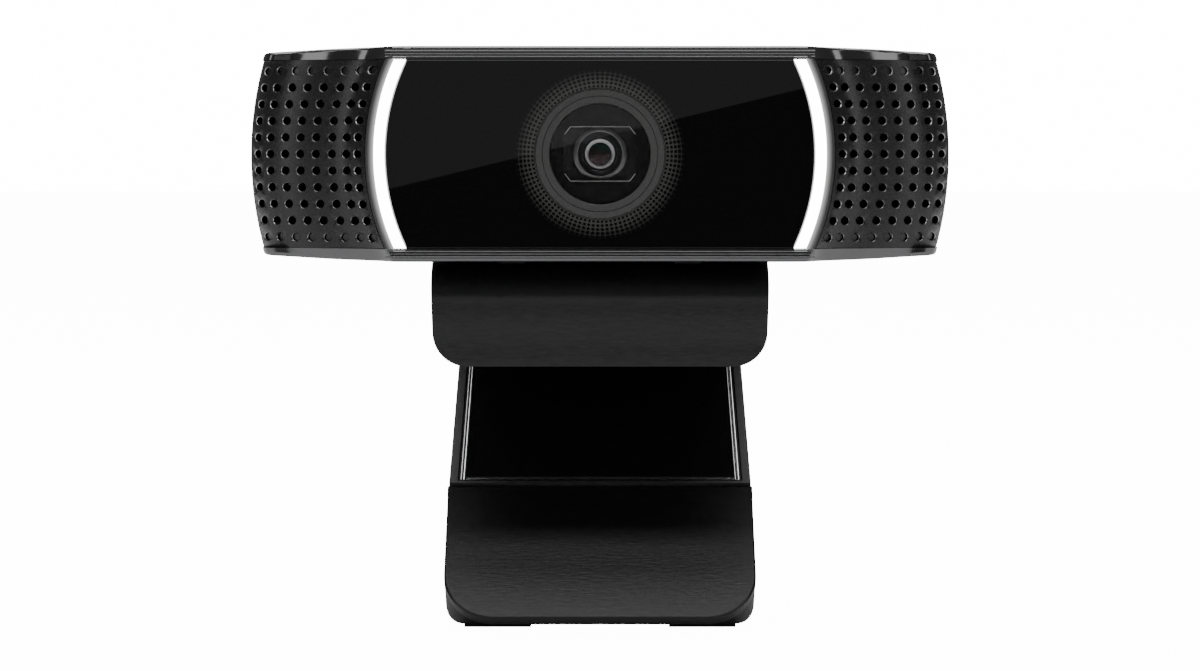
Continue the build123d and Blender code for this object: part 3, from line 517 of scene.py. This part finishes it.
def printed_window(colours, sizes):
    """Black gloss with a ring of printed grey lattice round the lens that fades outwards."""
    finish = Finish("window_gloss", tuple(colours.window), 0.03)
    across, up = finish.about_lens()
    radius = finish.length(across, up)
    angle = finish.math("ARCTAN2", up, across)
    pitch = 0.52
    rings = 5
    column = finish.math("FRACT", finish.math("MULTIPLY", angle, sizes.dot_count / (2 * math.pi)))
    beyond = finish.math("SUBTRACT", radius, PRINT_EDGE)
    row = finish.math("FRACT", finish.math("DIVIDE", beyond, pitch))
    from_middle = finish.math("SUBTRACT", column, 0.5)
    from_row = finish.math("SUBTRACT", row, 0.5)
    distance = finish.length(from_middle, from_row)
    fade = finish.math("DIVIDE", beyond, rings * pitch, clamp=True)
    dot_size = finish.math("MULTIPLY_ADD", fade, 0.16, 0.24)
    lattice = finish.math("MULTIPLY", finish.math("SUBTRACT", distance, dot_size), 9.0, clamp=True)
    strength = finish.math("SUBTRACT", 1.0, finish.math("MULTIPLY", fade, fade))
    print_amount = finish.math("MULTIPLY", lattice, strength)
    inside = finish.math("LESS_THAN", radius, PRINT_EDGE + rings * pitch)
    print_amount = finish.math("MULTIPLY", print_amount, inside)
    grey = (0.052, 0.052, 0.050)
    finish.colour_from(finish.blend(print_amount, tuple(colours.window), grey))
    finish.roughness_from(finish.spread(finish.noise(60), 0.004, 0.010))
    finish.shader.inputs["IOR"].default_value = 1.49
    return finish.material


def lit_strip(colours):
    """A white diffusing light guide, lit from behind, its glow varying a little at random."""
    finish = Finish("light_guide", (0.9, 0.9, 0.9), 0.4)
    glow = finish.spread(finish.noise(260, 1.0), 14.0, 16.0)
    finish.links.new(glow, finish.shader.inputs["Emission Strength"])
    finish.shader.inputs["Emission Color"].default_value = (*colours.light, 1)
    return finish.material


def sparkling_paint(colour):
    """Satin black metal paint with fine flakes that catch the light."""
    finish = Finish("grille_metal", colour, 0.36, 0.0)
    finish.shader.inputs["Specular IOR Level"].default_value = 0.6
    fine = finish.noise(6500, 2.0)
    flakes = finish.spread(finish.noise(9000, 1.0), -1.5, 1.2)
    flake_amount = finish.math("MAXIMUM", flakes, 0.0)
    finish.colour_from(finish.blend(flake_amount, colour, tuple(10 * channel for channel in colour)))
    finish.roughness_from(finish.spread(fine, 0.24, 0.36))
    finish.bump(fine, 0.000022)
    return finish.material


def rim_with_painted_strip_glow():
    """Matte grey beside the light strip that darkens outwards, with the strip's light painted on: painted
    grey light and a painted glow near the strip.
    """
    finish = Finish("rim_paint", (0.03, 0.03, 0.03), 0.5)
    beyond = finish.math("SUBTRACT", finish.length(*finish.about_lens()), STRIP_GLOW_START)
    share = finish.math("MULTIPLY", beyond, 0.85, clamp=True)
    # Painted light: grey near the light strip fading to near-black, standing in for the strip's light
    # falling on the rim
    finish.colour_from(finish.blend(share, (0.16, 0.16, 0.16), (0.008, 0.008, 0.008)))
    # Painted glow: emission on the rim, which is no lamp, strongest right beside the strip
    glow = finish.math("POWER", finish.math("SUBTRACT", 1.0, share), 3.0)
    finish.links.new(finish.math("MULTIPLY", glow, 0.9), finish.shader.inputs["Emission Strength"])
    finish.shader.inputs["Emission Color"].default_value = (1, 1, 1, 1)
    finish.bump(finish.noise(5200, 3.0), 0.00001)
    return finish.material


def brushed_plastic(name, colour, roughness):
    """Dark plastic with a very fine grain drawn out across the width."""
    finish = Finish(name, colour, roughness)
    finish.shader.inputs["Specular IOR Level"].default_value = 0.4
    lines = finish.noise(3800, 4.0, (0.16, 1, 1))
    bright = tuple(1.7 * channel for channel in colour)
    finish.colour_from(finish.blend(finish.spread(lines, 0, 1), colour, bright))
    finish.roughness_from(finish.spread(lines, roughness * 0.9, roughness * 1.12))
    finish.bump(lines, 0.000024)
    return finish.material


def glass_with_painted_coating_reflection(name):
    """Dark multi-coated optical glass with the coating's reflection colours painted on: green at the top
    turning to wine red lower down the dome.
    """
    wine, green = (0.030, 0.003, 0.006), (0.002, 0.024, 0.018)
    finish = Finish(name, green, 0.01)
    across, up = finish.about_lens()
    # Painted reflection: the coating's colours set by height, green above and wine red below, shifted a
    # little across
    share = finish.math("MULTIPLY_ADD", up, 0.75, 0.35, clamp=True)
    painted_reflection_mix = finish.math("MULTIPLY_ADD", across, 0.12, share, clamp=True)
    finish.colour_from(finish.blend(painted_reflection_mix, wine, green))
    finish.shader.inputs["Coat Weight"].default_value = 0.1
    finish.shader.inputs["Coat Roughness"].default_value = 0.01
    finish.shader.inputs["Specular IOR Level"].default_value = 0.25
    return finish.material


def clear_glass(name, tint):
    """Thin clear cover glass."""
    finish = Finish(name, tint, 0.0)
    finish.shader.inputs["Transmission Weight"].default_value = 1.0
    finish.shader.inputs["IOR"].default_value = 1.4
    finish.roughness_from(finish.spread(finish.noise(40), 0.0, 0.01))
    return finish.material


def woven_cloth(name, colour):
    """Tight black acoustic cloth."""
    finish = Finish(name, colour, 0.95)
    wave = finish.nodes.new("ShaderNodeTexWave")
    wave.inputs["Scale"].default_value = 1500
    finish.links.new(finish.place, wave.inputs["Vector"])
    finish.colour_from(finish.blend(wave.outputs["Fac"], colour, tuple(2 * c for c in colour)))
    finish.bump(wave.outputs["Fac"], 0.00003)
    return finish.material


def circuit(name):
    """Green solder mask with faint copper tracks under it."""
    finish = Finish(name, (0.01, 0.09, 0.04), 0.3)
    brick = finish.nodes.new("ShaderNodeTexBrick")
    brick.inputs["Scale"].default_value = 700
    brick.inputs["Mortar Size"].default_value = 0.06
    brick.inputs["Color1"].default_value = (0.010, 0.090, 0.040, 1)
    brick.inputs["Color2"].default_value = (0.008, 0.075, 0.034, 1)
    brick.inputs["Mortar"].default_value = (0.040, 0.160, 0.070, 1)
    finish.links.new(finish.place, brick.inputs["Vector"])
    finish.colour_from(brick.outputs["Color"])
    finish.bump(brick.outputs["Fac"], 0.00002)
    return finish.material


def make_finishes():
    """Every finish of the webcam, by the record's slot name."""
    colours = bpy.context.scene.webcam_colours
    sizes = bpy.context.scene.webcam_sizes
    body = tuple(colours.body)
    return {
        "frame_metal": polished("frame_metal", (0.15, 0.15, 0.153), 0.12, 1.0, (0.02, 1, 1), 900),
        # Painted light: the rim beside the light strip carries the strip's glow in its colour and
        # emission
        "rim_paint": rim_with_painted_strip_glow(),
        "mask_black": grained("mask_black", (0.0007, 0.0008, 0.0009), 0.95, 5200, 0.000004),
        # Painted light: a lighter copy of the dark body plastic for the leg's rails, standing in for
        # light on their upper faces in the head's shade
        "leg_rail_painted_light": brushed_plastic("leg_rail_painted_light", (0.024, 0.024, 0.0245), 0.45),
        # Painted shade: a darker copy of the body plastic, standing in for the shade on the foot's
        # underside; the hinge washers use it too
        "body_painted_shade": brushed_plastic("body_painted_shade", (0.0035, 0.0035, 0.0037), 0.45),
        "window_gloss": printed_window(colours, sizes),
        # Painted reflection: coating colours painted over the lens dome by height
        "lens_glass": glass_with_painted_coating_reflection("lens_glass"),
        "cover_glass": clear_glass("cover_glass", (1, 1, 1)),
        "satin_ring": polished("satin_ring", (0.17, 0.17, 0.17), 0.36, grain=16000),
        "dark_metal": polished("dark_metal", (0.03, 0.03, 0.032), 0.34, 0.9, grain=12000),
        "bright_ring": polished("bright_ring", (0.62, 0.62, 0.62), 0.32, grain=16000),
        "grille_metal": sparkling_paint(tuple(colours.grille)),
        # Painted highlight: bright polished metal on the hole bevels of the black painted wings
        "hole_rim_highlight": polished("hole_rim_highlight", (0.42, 0.42, 0.42), 0.3, grain=9000),
        "mesh_cloth": woven_cloth("mesh_cloth", (0.003, 0.003, 0.003)),
        "light_guide": lit_strip(colours),
        "circuit_board": circuit("circuit_board"),
        "led_chip": grained("led_chip", (0.85, 0.72, 0.25), 0.4),
        "black_plastic": grained("black_plastic", (0.010, 0.010, 0.011), 0.5),
        "rear_shell": grained("rear_shell", (0.020, 0.020, 0.022), 0.48, 4200, 0.00002),
        "cast_metal": grained("cast_metal", (0.018, 0.018, 0.019), 0.5, 1800, 0.00003, 1.3, 0.3),
        "steel": polished("steel", (0.55, 0.55, 0.56), 0.28),
        "spring_steel": polished("spring_steel", (0.35, 0.35, 0.37), 0.3),
        "magnet_metal": polished("magnet_metal", (0.6, 0.6, 0.62), 0.15),
        "copper_coil": polished("copper_coil", (0.09, 0.035, 0.02), 0.3, 1.0, (1, 8, 1)),
        # Painted reflection: the same painted coating colours as the lens
        "filter_glass": glass_with_painted_coating_reflection("filter_glass"),
        "sensor_chip": grained("sensor_chip", (0.02, 0.03, 0.05), 0.15),
        "soft_pad": grained("soft_pad", (0.28, 0.30, 0.32), 0.8),
        "rubber_black": grained("rubber_black", (0.010, 0.010, 0.010), 0.62, 2400, 0.00003),
        "arm_plastic": brushed_plastic("arm_plastic", body, 0.5),
        "panel_gloss": grained("panel_gloss", (0.0050, 0.0054, 0.0058), 0.06, 900, 0.00000005, 1.1),
        "trim_bright": polished("trim_bright", tuple(colours.trim), 0.2),
        "pad_gloss": brushed_plastic("pad_gloss", (0.0022, 0.0022, 0.0022), 0.36),
        "brass_insert": polished("brass_insert", (0.62, 0.42, 0.16), 0.28),
    }


FINISHES = {}


def finish_nodes(names):
    """Give CAD nodes the finish of their own material slot."""
    slots = {entry["node"]: entry["material_slot"] for entry in frame["record"]["subparts"]}
    for name in names:
        piece = NODES[name]
        material = FINISHES[slots[name]]
        if not piece.material_slots:
            piece.data.materials.append(material)
        for slot in piece.material_slots:
            slot.material = material


def refinish(name, finish):
    """Give one CAD node a finish of its own within its slot's family."""
    for slot in NODES[name].material_slots:
        slot.material = FINISHES[finish]


def place(piece, body, slot, *replaced):
    """Let a new piece ride on its body and hide the CAD nodes that it stands for; slot is not used."""
    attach(piece, body)
    if replaced:
        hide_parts(*replaced)


# ---- operators -----------------------------------------------------------------------------------
class WEBCAM_OT_wings(bpy.types.Operator):
    """Perforated wings with bevelled holes, and the cloth behind them"""
    bl_idname = "webcam.wings"
    bl_label = "Perforated wings"

    def execute(self, context):
        for side, sign in (("left", -1), ("right", 1)):
            wing = perforated_wing(
                f"wing_{side}", sign, context.scene.webcam_sizes, FINISHES["grille_metal"])
            place(wing, "head", "grille_metal", f"grille_{side}")
        finish_nodes(["acoustic_mesh_left", "acoustic_mesh_right"])
        return {"FINISHED"}


class WEBCAM_OT_window(bpy.types.Operator):
    """Glossy window, its bezel lines, the light strips and the front frame"""
    bl_idname = "webcam.window"
    bl_label = "Window and light strips"

    def execute(self, context):
        finish_nodes([
            "front_frame", "front_window", "light_strip_left", "light_strip_right", "window_carrier"])
        rim = [(30.14, 0.08), (30.14, 0.0), (30.4, -0.02), (30.9, 0.0), (31.24, 0.25), (31.32, 0.62),
               (31.32, 1.2), (30.44, 1.2), (30.44, 0.08)]
        for side, sign in (("left", -1), ("right", 1)):
            place(strip_rim(f"strip_rim_{side}", rim, sign), "head", "frame_metal")
        for name, sign in (("top", 1), ("bottom", -1)):
            sections = []
            for height, width in ((13.72, 0.13), (13.32, 0.07), (12.97, 0.10)):
                turns = [math.pi * step / 8 for step in range(9)]
                sections.append([
                    (0.25 - 0.17 * math.sin(turn), sign * (height + width * math.cos(turn)))
                    for turn in turns
                ])
            lines = bar_along_x(f"bezel_lines_{name}", sections, -28.6, 28.6, FINISHES["frame_metal"])
            place(lines, "head", "frame_metal")
        return {"FINISHED"}


class WEBCAM_OT_lens(bpy.types.Operator):
    """Ring with fine grooves, cover glass, octagonal mask, barrel and coated lens"""
    bl_idname = "webcam.lens"
    bl_label = "Lens"

    def execute(self, context):
        grooves = ((7.70, 0.055), (8.60, 0.05))
        surround = lathe(
            "lens_surround", ground_ring(6.70, 8.72, 0.02, 0.95, grooves), ring_finish())
        place(surround, "head", "window_gloss", "lens_ring")
        barrel = lathe("barrel_front", [
            (2.30, 4.85), (2.30, 3.20), (2.14, 3.20), (2.14, 3.02), (2.22, 2.98), (2.80, 2.62),
            (2.90, 2.42), (2.98, 2.37), (3.62, 2.46), (3.62, 2.60), (3.70, 2.60), (3.70, 2.44),
            (3.79, 2.44), (3.80, 5.1), (3.745, 5.15), (3.745, 8.8), (2.42, 8.8), (2.42, 4.85),
        ], FINISHES["dark_metal"])
        place(barrel, "lens", "dark_metal", "lens_barrel")
        bezel = lathe("barrel_bezel", [
            (2.96, 2.44), (2.96, 2.33), (3.02, 2.29), (3.10, 2.29), (3.58, 2.38), (3.62, 2.42),
            (3.62, 2.47), (3.3, 2.46),
        ], FINISHES["satin_ring"])
        place(bezel, "lens", "dark_metal")
        retainer = lathe("lens_ring_bright", [
            (1.52, 3.25), (1.52, 2.96), (1.60, 2.86), (1.68, 2.84), (1.72, 2.88), (1.78, 2.80),
            (1.98, 2.78), (2.06, 2.88), (2.07, 3.25),
        ], FINISHES["bright_ring"])
        place(retainer, "lens", "bright_ring", "lens_retainer")
        dome = [(0.0005, 4.2), (0.0005, 2.62)]
        dome += [(1.5 * step / 12, 2.62 + 0.36 * (step / 12) ** 2) for step in range(1, 13)]
        dome += [(1.5, 4.2)]
        lens = lathe("front_lens_dome", dome, FINISHES["lens_glass"], 96)
        place(lens, "lens", "lens_glass", "front_lens")
        finish_nodes(["lens_mask", "rear_lenses", "focus_coil", "lens_cover", "focus_housing"])
        refinish("lens_cover", "cover_glass")
        refinish("lens_mask", "mask_black")
        place(self.mask_edge(), "head", "dark_metal")
        return {"FINISHED"}

    def mask_edge(self):
        """Two fine bright lines round the mask's opening, open at the sides."""
        half_x, half_z, side_x, side_z = 3.94, 3.62, 4.72, 2.62
        wide = 0.075
        near, far = 1.02, 1.16
        vertices = []
        faces = []
        for sign in (1, -1):
            route = [(-side_x, side_z), (-half_x, half_z), (half_x, half_z), (side_x, side_z)]
            start = len(vertices)
            for across, up in route:
                for shift in (-wide / 2, wide / 2):
                    for depth in (near, far):
                        vertices.append((
                            (across + shift * across / 6) * MM, WINDOW_Y + depth * MM,
                            LENS_Z + sign * (up + shift) * MM,
                        ))
            for step in range(len(route) - 1):
                here = start + 4 * step
                for first, second in ((0, 1), (1, 3), (3, 2), (2, 0)):
                    faces.append((here + first, here + second, here + 4 + second, here + 4 + first))
            end = start + 4 * (len(route) - 1)
            faces.append((start, start + 1, start + 3, start + 2))
            faces.append((end, end + 1, end + 3, end + 2))
        return new_piece("mask_edge_lines", vertices, faces, FINISHES["bright_ring"], smooth=False)


def ring_finish():
    """Satin dark grey of the ring round the lens."""
    return grained("lens_surround", (0.030, 0.030, 0.0295), 0.34, 7800, 0.00003, 2.1)


class WEBCAM_OT_inside(bpy.types.Operator):
    """Boards, sensor, chassis, screws, magnets and axles inside the head"""
    bl_idname = "webcam.inside"
    bl_label = "Inner parts"

    def execute(self, context):
        names = [
            "focus_magnets", "ir_filter", "image_sensor", "main_board", "board_screws",
            "board_connector", "thermal_pad", "chassis", "chassis_screws", "tilt_axle",
            "tilt_friction_clip", "leg_friction_clip", "foot_friction_clip", "leg_axle", "foot_axle",
            "arm_screws",
        ]
        for side in ("left", "right"):
            names += [
                f"led_board_{side}", f"leds_{side}", f"microphone_{side}",
                f"microphone_boot_{side}", f"microphone_board_{side}",
            ]
        finish_nodes(names)
        place(hinge_washers(), "head", "black_plastic")
        return {"FINISHED"}


def hinge_washers():
    """Thin washers between the head's ears and the arm, round the tilt axle."""
    low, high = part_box("tilt_axle")
    centre_y, centre_z = (low[1] + high[1]) / 2, (low[2] + high[2]) / 2
    bore, rim, chamfer = 1.3, 3.08, 0.07
    segments = 64
    vertices = []
    faces = []
    for side in (-1, 1):
        for near, far in ((9.90, 10.17), (13.83, 14.10)):
            profile = [
                (bore, near), (rim - chamfer, near), (rim, near + chamfer),
                (rim, far - chamfer), (rim - chamfer, far), (bore, far),
            ]
            start = len(vertices)
            for step in range(segments):
                turn = 2 * math.pi * step / segments
                for radius, across in profile:
                    vertices.append((
                        side * across * MM, centre_y + radius * MM * math.cos(turn),
                        centre_z + radius * MM * math.sin(turn),
                    ))
            faces += bands(start, len(profile), segments, closed=True)
    # Painted shade: the washers take the darker copy of the body plastic
    return new_piece("hinge_washers", vertices, faces, FINISHES["body_painted_shade"])


class WEBCAM_OT_back(bpy.types.Operator):
    """Rear cover with its screws and the cable gland"""
    bl_idname = "webcam.back"
    bl_label = "Rear cover"

    def execute(self, context):
        finish_nodes(["rear_cover", "cover_screws", "cable_gland"])
        return {"FINISHED"}


class WEBCAM_OT_clip(bpy.types.Operator):
    """Arm with its lip and pads, leg with its panel and trims, and the foot"""
    bl_idname = "webcam.clip"
    bl_label = "Arm, leg and foot"

    def execute(self, context):
        finish_nodes([
            "arm_shell", "arm_cover", "screen_pad", "lip_pad", "leg_frame", "leg_panel",
            "leg_trim_bottom", "foot_frame", "foot_pad", "thread_insert", "foot_bumpers",
        ])
        # Painted light: the leg frame takes the lighter copy of the body plastic
        refinish("leg_frame", "leg_rail_painted_light")
        # Painted shade: foot frame and bumpers take the darker copy of the body plastic
        refinish("foot_frame", "body_painted_shade")
        refinish("foot_bumpers", "body_painted_shade")
        for side in ("left", "right"):
            rails = twin_rails(f"leg_trim_{side}")
            place(rails, "leg", "trim_bright", f"leg_trim_{side}")
        return {"FINISHED"}


def twin_rails(node):
    """Two polished beads with a dark groove between them, laid in a trim strip's own place."""
    corners = np.array([vertex.co for vertex in NODES[node].data.vertices])
    along = np.array((0, -math.cos(LEG_SLOPE), -math.sin(LEG_SLOPE)))
    up = np.array((0, -math.sin(LEG_SLOPE), math.cos(LEG_SLOPE)))
    reach = corners @ along
    ends = []
    for limit in (reach.min(), reach.max()):
        end = corners[np.abs(reach - limit) < 0.02 * MM]
        ends.append((end[:, 0].min(), end[:, 0].max(), limit))
    top = (corners @ up).max() - 0.02 * MM
    floor = (corners @ up).min()
    beads = ((0.0, 0.30), (0.52, 1.0))
    vertices = []
    faces = []
    for low_share, high_share in beads:
        start = len(vertices)
        profile = [(low_share, floor)]
        for step in range(9):
            turn = math.pi * step / 8
            share = (low_share + high_share) / 2 - (high_share - low_share) / 2 * math.cos(turn)
            profile.append((share, top - 0.10 * MM * (1 - math.sin(turn))))
        profile.append((high_share, floor))
        count = len(profile)
        for x_low, x_high, distance in ends:
            for share, height in profile:
                point = along * distance + up * height
                vertices.append((x_low + (x_high - x_low) * share, point[1], point[2]))
        faces += bands(start, count, 2)
        faces.append(tuple(start + index for index in range(count)))
        faces.append(tuple(start + count + index for index in range(count)))
    return new_piece(f"rails_{node}", vertices, faces, FINISHES["trim_bright"])


def glow_card(name, corners, strength):
    """A card that only reflections see, given by its corners in metres."""
    finish = Finish(name, (0, 0, 0), 1.0)
    finish.shader.inputs["Emission Color"].default_value = (1, 1, 1, 1)
    finish.shader.inputs["Emission Strength"].default_value = strength
    mesh = bpy.data.meshes.new(name)
    mesh.from_pydata(corners, [], [tuple(range(len(corners)))])
    mesh.materials.append(finish.material)
    card = bpy.data.objects.new(name, mesh)
    bpy.context.scene.collection.objects.link(card)
    card.visible_camera = False
    card.visible_shadow = False


def area_light(name, spot, aim, size, power, size_y=None):
    """A soft rectangular light at spot that faces aim."""
    data = bpy.data.lights.new(name, "AREA")
    data.shape = "RECTANGLE"
    data.size = size
    data.size_y = size_y or size
    data.energy = power
    light = bpy.data.objects.new(name, data)
    light.location = spot
    direction = [goal - start for goal, start in zip(aim, spot)]
    light.rotation_euler = Vector(direction).to_track_quat("-Z", "Y").to_euler()
    bpy.context.scene.collection.objects.link(light)


class WEBCAM_OT_stage(bpy.types.Operator):
    """Pale floor, soft studio light and the camera"""
    bl_idname = "webcam.stage"
    bl_label = "Stage"

    FLOOR_GLOW = 14.0
    BACKDROP_GLOW = 16.0
    ROOM_GLOW = 0.14

    def execute(self, context):
        self.floor()
        self.surroundings()
        area_light("top_light", (0, 0.10, 0.75), (0, 0, 0), 0.9, 8.0)
        for side in (-1, 1):
            area_light(f"side_light_{side}", (side * 0.70, -0.45, 0.22), (0, 0, 0), 0.22, 1.0, 0.8)
        area_light("rim_light", (0, -0.45, 0.70), (0, 0, 0.01), 0.7, 1.6, 0.10)
        area_light("front_light", (0, -0.60, -0.20), (0, 0, -0.01), 0.8, 5.0, 0.25)
        self.camera()
        return {"FINISHED"}

    def floor(self):
        """A wide pale floor just under the foot, brighter to the camera than to the webcam."""
        finish = Finish("floor_paper", (0.86, 0.86, 0.86), 0.9)
        soft = finish.spread(finish.noise(3.0, 2.0), 0, 1)
        finish.colour_from(finish.blend(soft, (0.85, 0.85, 0.85), (0.87, 0.87, 0.87)))
        path = finish.nodes.new("ShaderNodeLightPath")
        finish.links.new(
            finish.math("MULTIPLY", path.outputs["Is Camera Ray"], self.FLOOR_GLOW),
            finish.shader.inputs["Emission Strength"])
        finish.shader.inputs["Emission Color"].default_value = (1, 1, 1, 1)
        mesh = bpy.data.meshes.new("floor")
        height = CAD_BOX[0][2] - 0.5 * MM
        reach = 6.0
        corners = [(-reach, -reach, height), (reach, -reach, height), (reach, reach, height),
                   (-reach, reach, height)]
        mesh.from_pydata(corners, [], [(0, 1, 2, 3)])
        mesh.materials.append(finish.material)
        floor = bpy.data.objects.new("floor", mesh)
        bpy.context.scene.collection.objects.link(floor)

    def surroundings(self):
        """Pale backdrop to look at, a dim room to light with, and two cards for the window to reflect."""
        world = bpy.data.worlds.new("studio")
        bpy.context.scene.world = world
        world.use_nodes = True
        nodes, links = world.node_tree.nodes, world.node_tree.links
        backdrop = nodes["Background"]
        backdrop.inputs["Color"].default_value = (1, 1, 1, 1)
        backdrop.inputs["Strength"].default_value = self.BACKDROP_GLOW
        room = nodes.new("ShaderNodeBackground")
        room.inputs["Color"].default_value = (1, 1, 1, 1)
        room.inputs["Strength"].default_value = self.ROOM_GLOW
        path = nodes.new("ShaderNodeLightPath")
        mix = nodes.new("ShaderNodeMixShader")
        links.new(path.outputs["Is Camera Ray"], mix.inputs["Fac"])
        links.new(room.outputs[0], mix.inputs[1])
        links.new(backdrop.outputs[0], mix.inputs[2])
        links.new(mix.outputs[0], nodes["World Output"].inputs["Surface"])
        grey_y = WINDOW_Y - 0.72
        dark_y = grey_y - 0.02
        wide, high = 0.45, 0.30
        glow_card("dark_card", [
            (-wide, dark_y, LENS_Z - high), (wide, dark_y, LENS_Z - high),
            (wide, dark_y, LENS_Z + high), (-wide, dark_y, LENS_Z + high)], 0.06)
        half = 0.30
        rise = half * 0.034 / 0.140
        middle = LENS_Z + 0.0053
        top = LENS_Z + 0.25
        glow_card("grey_card", [
            (-half, grey_y, middle - rise), (half, grey_y, middle + rise),
            (half, grey_y, top), (-half, grey_y, top)], 0.33)

    def camera(self):
        """A long lens level with the webcam's own, shifted down to frame the folded-out leg."""
        distance = 0.5
        data = bpy.data.cameras.new("camera")
        data.lens = 112.8
        data.sensor_width = 36
        data.shift_y = -0.1513
        camera = bpy.data.objects.new("camera", data)
        camera.location = (0, WINDOW_Y - distance, LENS_Z)
        camera.rotation_euler = (math.pi / 2, 0, 0)
        bpy.context.scene.collection.objects.link(camera)
        bpy.context.scene.camera = camera


OPERATORS = (
    WEBCAM_OT_wings, WEBCAM_OT_window, WEBCAM_OT_lens, WEBCAM_OT_inside, WEBCAM_OT_back,
    WEBCAM_OT_clip, WEBCAM_OT_stage,
)


class WEBCAM_PT_panel(bpy.types.Panel):
    """Lists the webcam's pieces"""
    bl_idname = "WEBCAM_PT_panel"
    bl_label = "Webcam"
    bl_space_type = "VIEW_3D"
    bl_region_type = "UI"
    bl_category = "Webcam"

    def draw(self, context):
        for group in (context.scene.webcam_sizes, context.scene.webcam_colours):
            for name in group.__annotations__:
                self.layout.prop(group, name)
        for operator in OPERATORS:
            self.layout.operator(operator.bl_idname)


CLASSES = (WebcamSizes, WebcamColours, *OPERATORS, WEBCAM_PT_panel)


def register():
    for item in CLASSES:
        bpy.utils.register_class(item)
    bpy.types.Scene.webcam_sizes = bpy.props.PointerProperty(type=WebcamSizes)
    bpy.types.Scene.webcam_colours = bpy.props.PointerProperty(type=WebcamColours)


def unregister():
    del bpy.types.Scene.webcam_colours
    del bpy.types.Scene.webcam_sizes
    for item in reversed(CLASSES):
        bpy.utils.unregister_class(item)


def main():
    register()
    FINISHES.update(make_finishes())
    bpy.ops.webcam.wings()
    bpy.ops.webcam.window()
    bpy.ops.webcam.lens()
    bpy.ops.webcam.inside()
    bpy.ops.webcam.back()
    bpy.ops.webcam.clip()
    bpy.ops.webcam.stage()


if __name__ == "__main__":
    main()
